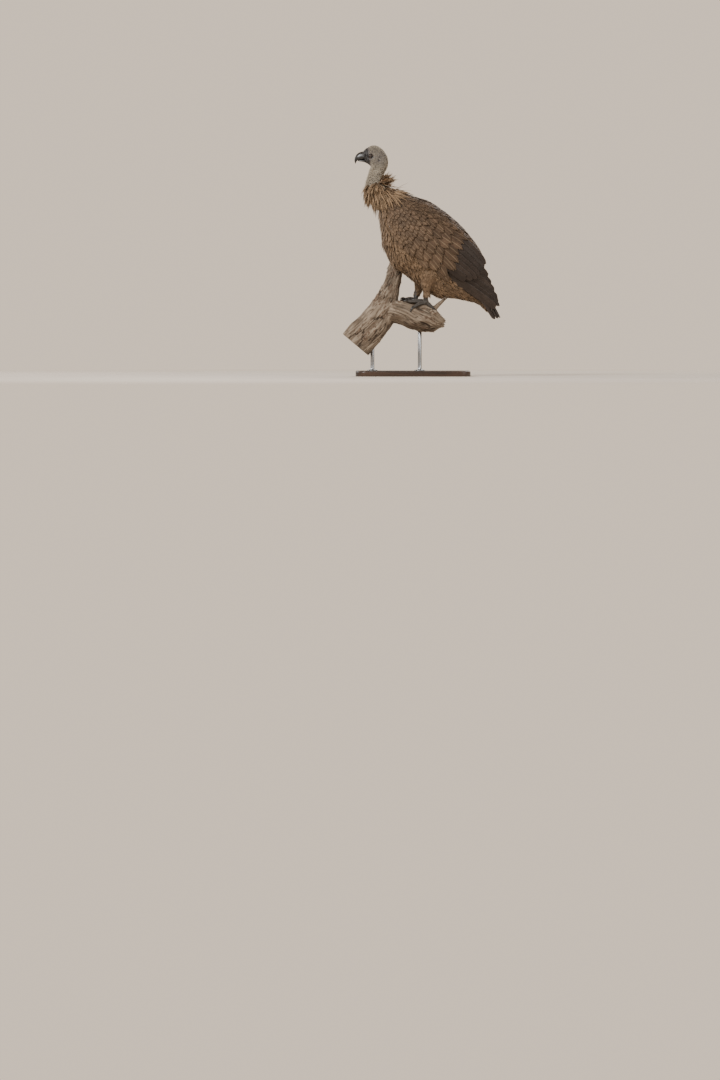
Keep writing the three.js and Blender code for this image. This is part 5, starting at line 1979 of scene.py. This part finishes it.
class BuildBodyFeathers(bpy.types.Operator):
    """Lay the feathers of the breast, belly, flanks, back, rump and thighs"""

    bl_idname = "vulture.body_feathers"
    bl_label = "Body feathers"

    def execute(self, context):
        plumage = context.scene.vulture_plumage
        depth, size = plumage.coat_depth / MM, plumage.contour_length / MM
        finish = feather_finish(
            "Body feathers", plumage.under[:], plumage.upper[:], plumage.shaft[:],
            streak=0.10, streak_share=0.36, fringe=0.14,
        )
        trunk, covered = on_form(TRUNK, TRUNK_EGG), wing_outline(38)
        uncovered = lambda p: ~inside_outline(p[:, 0], p[:, 2], covered)
        coat = Coat(31)
        body_feathers(
            coat, trunk, (0.0, 0.62), (1.15, 2 * np.pi - 1.15),
            lambda u: size * (1 + 0.55 * u), lambda u: 6.2 + 3.2 * u, lambda u: 8.4 + 5 * u,
            (depth - 0.5, lambda u: -0.8 - 2.6 * smooth(0.04, 0.24, u) * smooth(0.6, 0.42, u)),
            keep=uncovered, fall=0.25, lift=1.8, tuck=wing_outline(14),
        )
        body_feathers(
            coat, on_form(NECK), (0.6, 1.0), (1.9, 2 * np.pi - 1.9),
            lambda u: size * 0.95, lambda u: 6.0, lambda u: 7.6,
            (lambda u: depth + 3, lambda u: 4.5 - 4.5 * smooth(0.6, 1.0, u)), fall=0.2, lift=0.8, stations=7,
        )
        settle(coat.build("breast_feathers", finish), "plumage")
        coat = Coat(32)
        body_feathers(
            coat, trunk, (0.50, 0.885), (1.5, 2 * np.pi - 1.5),
            lambda u: size * (1.35 + 0.7 * (u - 0.5)), lambda u: 8.5 + 3 * (u - 0.5), lambda u: 10.5 + 4 * (u - 0.5),
            (depth - 0.5, -0.4), keep=uncovered, fall=0.15, lift=1.2, stations=9, tuck=wing_outline(14),
        )
        settle(coat.build("belly_feathers", finish), "plumage")
        coat = Coat(33)
        body_feathers(
            coat, on_form(FOLDED), (0.0, 0.58), (-1.1, 1.1),
            lambda u: size * (1.25 + 1.1 * u), lambda u: 9.5 + 8 * u, lambda u: 12 + 8 * u,
            (lambda u: depth - 0.5 - 2 * smooth(0.35, 0.55, u), lambda u: 0.7 + 1.8 * smooth(0.25, 0.5, u)),
            kind="blunt", keep=lambda p: ~inside_outline(p[:, 0], p[:, 2], SHOULDER),
            lift=0.7, stations=9, tuck=QUILLS,
        )
        body_feathers(
            coat, on_form(NECK), (0.5, 1.0), (-2.0, 2.0), lambda u: size * 1.1, lambda u: 8.0, lambda u: 9.5,
            (lambda u: depth + 3, lambda u: 3.5 - 2 * smooth(0.5, 1.0, u)), fall=0.1, lift=0.5, stations=7,
        )
        settle(coat.build("back_feathers", finish), "plumage")
        coat = Coat(35)
        body_feathers(
            coat, trunk, (0.48, 0.90), (-1.25, 1.25), lambda u: size * (1.5 - 0.4 * (u - 0.5)), lambda u: 11.0,
            lambda u: 12.5, (depth - 0.5, 4.0), kind="blunt", lift=0.6,
        )
        settle(coat.build("rump_feathers", finish), "plumage")
        coat = Coat(34)
        for side_name in SIDES:
            body_feathers(
                coat, on_limb(THIGH[side_name], THIGH_RADII), (0.12, 0.93), (0.0, 2 * np.pi),
                lambda u: size * (1.1 - 0.56 * u**2), lambda u: 5.6 - 1.6 * u, lambda u: 8.4 - 2.6 * u,
                (0.6 * depth - 0.5, lambda u: 0.4 + 2.2 * smooth(0.3, 0.9, u)), fall=0.25, lift=0.8,
            )
        settle(coat.build("thigh_feathers", finish), "plumage")
        return {"FINISHED"}


# Share back from the wrist, length, half width, spacing, depth at the tip, and from where to where up the wing.
COVERT_ROWS = [
    (0.00, 26, 7.0, 10, 1.6, (0.02, 0.98)),
    (0.05, 30, 7.5, 10.5, 1.2, (0.0, 1.0)),
    (0.10, 33, 8.0, 11, 1.0, (0.0, 1.0)),
    (0.155, 36, 8.5, 11.5, 0.8, (0.0, 1.0)),
    (0.21, 39, 9.0, 12, 0.6, (0.0, 1.0)),
    (0.27, 42, 9.5, 12.5, 0.5, (0.0, 1.0)),
    (0.33, 45, 10, 13, 0.4, (0.0, 1.0)),
    (0.40, 48, 10.5, 13.5, 0.3, (0.0, 1.0)),
    (0.47, 52, 11.5, 14.5, 0.2, (0.0, 1.0)),
    (0.55, 58, 13, 16, 0.1, (0.0, 1.0)),
    (0.64, 66, 14.5, 17.5, 0.0, (0.0, 1.0)),
    (0.74, 78, 16, 19, -0.1, (0.0, 1.0)),
    (0.85, 96, 17.5, 21, -0.3, (0.02, 0.99)),
]


class BuildCoverts(bpy.types.Operator):
    """Lay the rows of coverts on both folded wings"""

    bl_idname = "vulture.coverts"
    bl_label = "Wing coverts"

    def execute(self, context):
        plumage = context.scene.vulture_plumage
        ground = tuple(0.3 * low + 0.7 * high for low, high in zip(plumage.under, plumage.upper))
        finish = feather_finish(
            "Wing coverts", ground, plumage.upper[:], plumage.shaft[:],
            streak=0.09, streak_share=0.6, fringe=0.2, barbs=620, spread=0.22,
        )
        for seed, (side_name, side) in enumerate(SIDES.items(), 41):
            coat = Coat(seed)
            covert_rows(coat, side)
            settle(coat.build(f"coverts_{side_name}", finish), "plumage", f"wing_{side_name}_coverts")
        return {"FINISHED"}


class BuildFlightFeathers(bpy.types.Operator):
    """Fold the quills of both wings and the tail"""

    bl_idname = "vulture.flight_feathers"
    bl_label = "Flight and tail feathers"

    def execute(self, context):
        plumage = context.scene.vulture_plumage
        flight = plumage.flight[:]
        finish = feather_finish(
            "Flight feathers", flight, flight, tuple(2.0 * c for c in flight),
            streak=0.05, streak_share=0.25, fringe=0.55, barbs=1500, spread=0.2, rough=0.5, root=flight,
        )
        for seed, (side_name, side) in enumerate(SIDES.items(), 51):
            coat = Coat(seed)
            flight_fan(coat, side, SECONDARIES, 1.4, 1.55, 0.12)
            settle(coat.build(f"secondaries_{side_name}", finish), "flight_feathers", f"wing_{side_name}_secondaries")
            coat = Coat(seed + 2)
            flight_fan(coat, side, PRIMARIES, 8.4, 1.6, 0.12)
            settle(coat.build(f"primaries_{side_name}", finish), "flight_feathers", f"wing_{side_name}_primaries")
        coat = Coat(55)
        tail_fan(coat)
        settle(coat.build("tail_feathers", finish), "flight_feathers", "tail")
        return {"FINISHED"}


class BuildBill(bpy.types.Operator):
    """Carve the hooked bill"""

    bl_idname = "vulture.bill"
    bl_label = "Bill"

    def execute(self, context):
        bare = context.scene.vulture_bare
        finish = horn_finish("Bill horn", bare.horn[:], bare.worn_horn[:], 0.26)
        for name, table, tucked in (("upper", BILL_UPPER, -0.05), ("lower", BILL_LOWER, -0.14)):
            made = mesh_object(f"bill_{name}_horn", *bill_body(table, 72, 90, tucked), finish)
            settle(made, "horn", f"bill_{name}")
        return {"FINISHED"}


class BuildEyes(bpy.types.Operator):
    """Set the eyes behind the lids"""

    bl_idname = "vulture.eyes"
    bl_label = "Eyes"

    def execute(self, context):
        finish = eye_finish(context.scene.vulture_bare.iris[:])
        for side_name, side in SIDES.items():
            settle(mesh_object(f"eyeball_{side_name}", *eye_body(side), finish), "eye", f"eye_{side_name}")
        return {"FINISHED"}


class BuildFeet(bpy.types.Operator):
    """Put the claws and scutes on the feet"""

    bl_idname = "vulture.feet"
    bl_label = "Claws and scutes"

    def execute(self, context):
        bare = context.scene.vulture_bare
        claw_horn = horn_finish("Claw horn", bare.horn[:], bare.worn_horn[:], 0.3)
        for side_name in SIDES:
            for name, _, _, claw in toe_lines(side_name):
                shape = body_of_surface(on_limb(claw, [r * 0.86 for r in CLAW_RADII], CLAW_RADII), 28, 36)
                settle(mesh_object(f"talon_{side_name}_{name}", *shape, claw_horn), "horn", f"claw_{side_name}_{name}")
        cloud = places_object("scute_places", *scute_places())
        scutes = repeated("leg_scutes", cloud, plate_body(), leg_finish(bare.leg[:]), 0.06, 3)
        settle(scutes, "leg_skin")
        return {"FINISHED"}


class BuildPerch(bpy.types.Operator):
    """Grow and weather the dead branch, with flakes of bark on it"""

    bl_idname = "vulture.perch"
    bl_label = "Perch"

    def execute(self, context):
        perch = context.scene.vulture_perch
        bodies = [
            body_of_surface(on_limb(LIMB, LIMB_RADII, turn=0.4), 96, 150),
            body_of_surface(on_limb(STUB, STUB_WIDE, STUB_TALL, turn=2.1), 96, 90),
            body_of_surface(on_limb(TWIG, TWIG_RADII), 40, 50),
        ]
        mesh = remeshed("perch", bodies, 2.1, 4)
        gripped, cut = weather(mesh, perch.crack_depth / MM)
        wood = wood_finish("Weathered wood", perch.pale[:], perch.dark[:], perch.sawn[:])
        mesh.materials.clear()
        made = finished_mesh("perch_wood", mesh, wood)
        settle(made, "dead_wood", "perch")
        bark = wood_finish("Bark", tuple(1.5 * c for c in perch.bark), tuple(0.7 * c for c in perch.bark), flakes=True)
        cloud = places_object("flake_places", *flake_places(mesh, gripped, cut, perch.flakes, 61))
        settle(repeated("bark_flakes", cloud, flake_body(), bark, 0.25, 5), "dead_wood")
        return {"FINISHED"}


class BuildStand(bpy.types.Operator):
    """Turn the rods with their flanges and shape the base board"""

    bl_idname = "vulture.stand"
    bl_label = "Display stand"

    def execute(self, context):
        stand = context.scene.vulture_stand
        made = mesh_object("stand_board", *base_body(), board_finish(stand.board[:], stand.board_dark[:]))
        settle(made, "stand_wood", "stand_base")
        steel = steel_finish(stand.steel[:])
        floor = BASE["underside"] + BASE["thick"]
        places, outward, along = [], [], []
        for name, rod in RODS.items():
            profile = [
                (ROD_RADIUS, floor - 13), (ROD_RADIUS, floor - 1), (21, floor), (22, floor + 0.8), (22, floor + 3),
                (21.2, floor + 4), (13, floor + 4.3), (10.5, floor + 5.4), (9.2, floor + 8), (ROD_RADIUS, floor + 11),
                (ROD_RADIUS, floor + 40), (ROD_RADIUS, rod["top"] - 0.6), (ROD_RADIUS - 0.6, rod["top"]),
            ]
            made = mesh_object(f"rod_{name}", *turned_body(rod["x"], profile, 64), steel)
            settle(made, "stand_steel", f"stand_rod_{name}")
            for a in np.radians([90, 210, 330]):
                places.append([rod["x"] + SCREW_CIRCLE * math.cos(a), SCREW_CIRCLE * math.sin(a), floor + 4.2])
                outward.append([0, 0, 1])
                along.append([math.cos(a * 2.3), math.sin(a * 2.3), 0])
        cloud = places_object("screw_places", places, outward, along, np.full((len(places), 3), SCREW_SIZE))
        settle(repeated("flange_screws", cloud, screw_body(), steel, 0.0, 1), "stand_steel")
        return {"FINISHED"}


FLOOR_RADIUS = 7


def aim(made, place, target):
    """Stands a light or a camera at a place and turns it to its target."""
    made.location = place
    made.rotation_mode = "QUATERNION"
    made.rotation_quaternion = (target - made.location).to_track_quat("-Z", "Y")


class BuildStage(bpy.types.Operator):
    """Lay the floor and set the lights and the camera"""

    bl_idname = "vulture.stage"
    bl_label = "Stage"

    def execute(self, context):
        scene, stage = context.scene, context.scene.vulture_stage
        edge = [(FLOOR_RADIUS * math.cos(a), FLOOR_RADIUS * math.sin(a), -0.0005) for a in turns(96)]
        mesh = bpy.data.meshes.new("floor")
        mesh.from_pydata(edge, [], [range(len(edge))])
        floor = finished_mesh("floor", mesh, floor_finish(stage.floor[:], 0.7, 3.6), False)
        world = bpy.data.worlds.new("Surroundings")
        scene.world = world
        world.use_nodes = True
        g = Graph(world.node_tree)
        background = world.node_tree.nodes["Background"]
        g.put(background.inputs["Color"], stage.air[:])
        # What the camera sees behind the piece is as bright as the lit floor.
        seen = g.node("ShaderNodeLightPath").outputs["Is Camera Ray"]
        g.put(background.inputs["Strength"], g.step(seen, 0.0, 1.0, 0.62, 1.28))
        middle = Vector((0.04, 0, 0.58))
        for name, place, size, power in (
            ("Key", (-2.0, -2.6, 2.6), 1.6, 140),
            ("Fill", (2.7, -2.0, 1.5), 2.2, 36),
            ("Back", (1.4, 2.8, 2.4), 2.0, 55),
            ("Far side", (-2.6, 1.6, 1.6), 2.0, 45),
        ):
            light = bpy.data.lights.new(name, "AREA")
            light.shape, light.size, light.energy = "DISK", size, power
            aim(placed(name, light), place, middle)
        camera = placed("Camera", bpy.data.cameras.new("Camera"))
        camera.data.lens = stage.lens
        camera.data.clip_end = 200
        target = Vector((-0.2168, 0, -0.672))
        aim(camera, (target.x, -stage.distance, 0.30), target)
        scene.camera = camera
        return {"FINISHED"}


PIECES = (
    BuildStage, BuildSkin, BuildDown, BuildRuff, BuildBodyFeathers, BuildCoverts, BuildFlightFeathers,
    BuildBill, BuildEyes, BuildFeet, BuildPerch, BuildStand,
)


class VulturePanel(bpy.types.Panel):
    """Lists the pieces and their settings"""

    bl_label = "Perched vulture"
    bl_idname = "VIEW3D_PT_vulture"
    bl_space_type = "VIEW_3D"
    bl_region_type = "UI"
    bl_category = "Vulture"

    def draw(self, context):
        for piece in PIECES:
            self.layout.operator(piece.bl_idname)
        for name, settings in SETTINGS.items():
            box = self.layout.box()
            for label in settings.__annotations__:
                box.prop(getattr(context.scene, "vulture_" + name), label)


def register():
    for made in (*SETTINGS.values(), *PIECES, VulturePanel):
        bpy.utils.register_class(made)
    for name, settings in SETTINGS.items():
        setattr(bpy.types.Scene, "vulture_" + name, bpy.props.PointerProperty(type=settings))


def unregister():
    for name in SETTINGS:
        delattr(bpy.types.Scene, "vulture_" + name)
    for made in reversed((*SETTINGS.values(), *PIECES, VulturePanel)):
        bpy.utils.unregister_class(made)


def main():
    register()
    for piece in PIECES:
        group, name = piece.bl_idname.split(".")
        getattr(getattr(bpy.ops, group), name)()


if __name__ == "__main__":
    main()
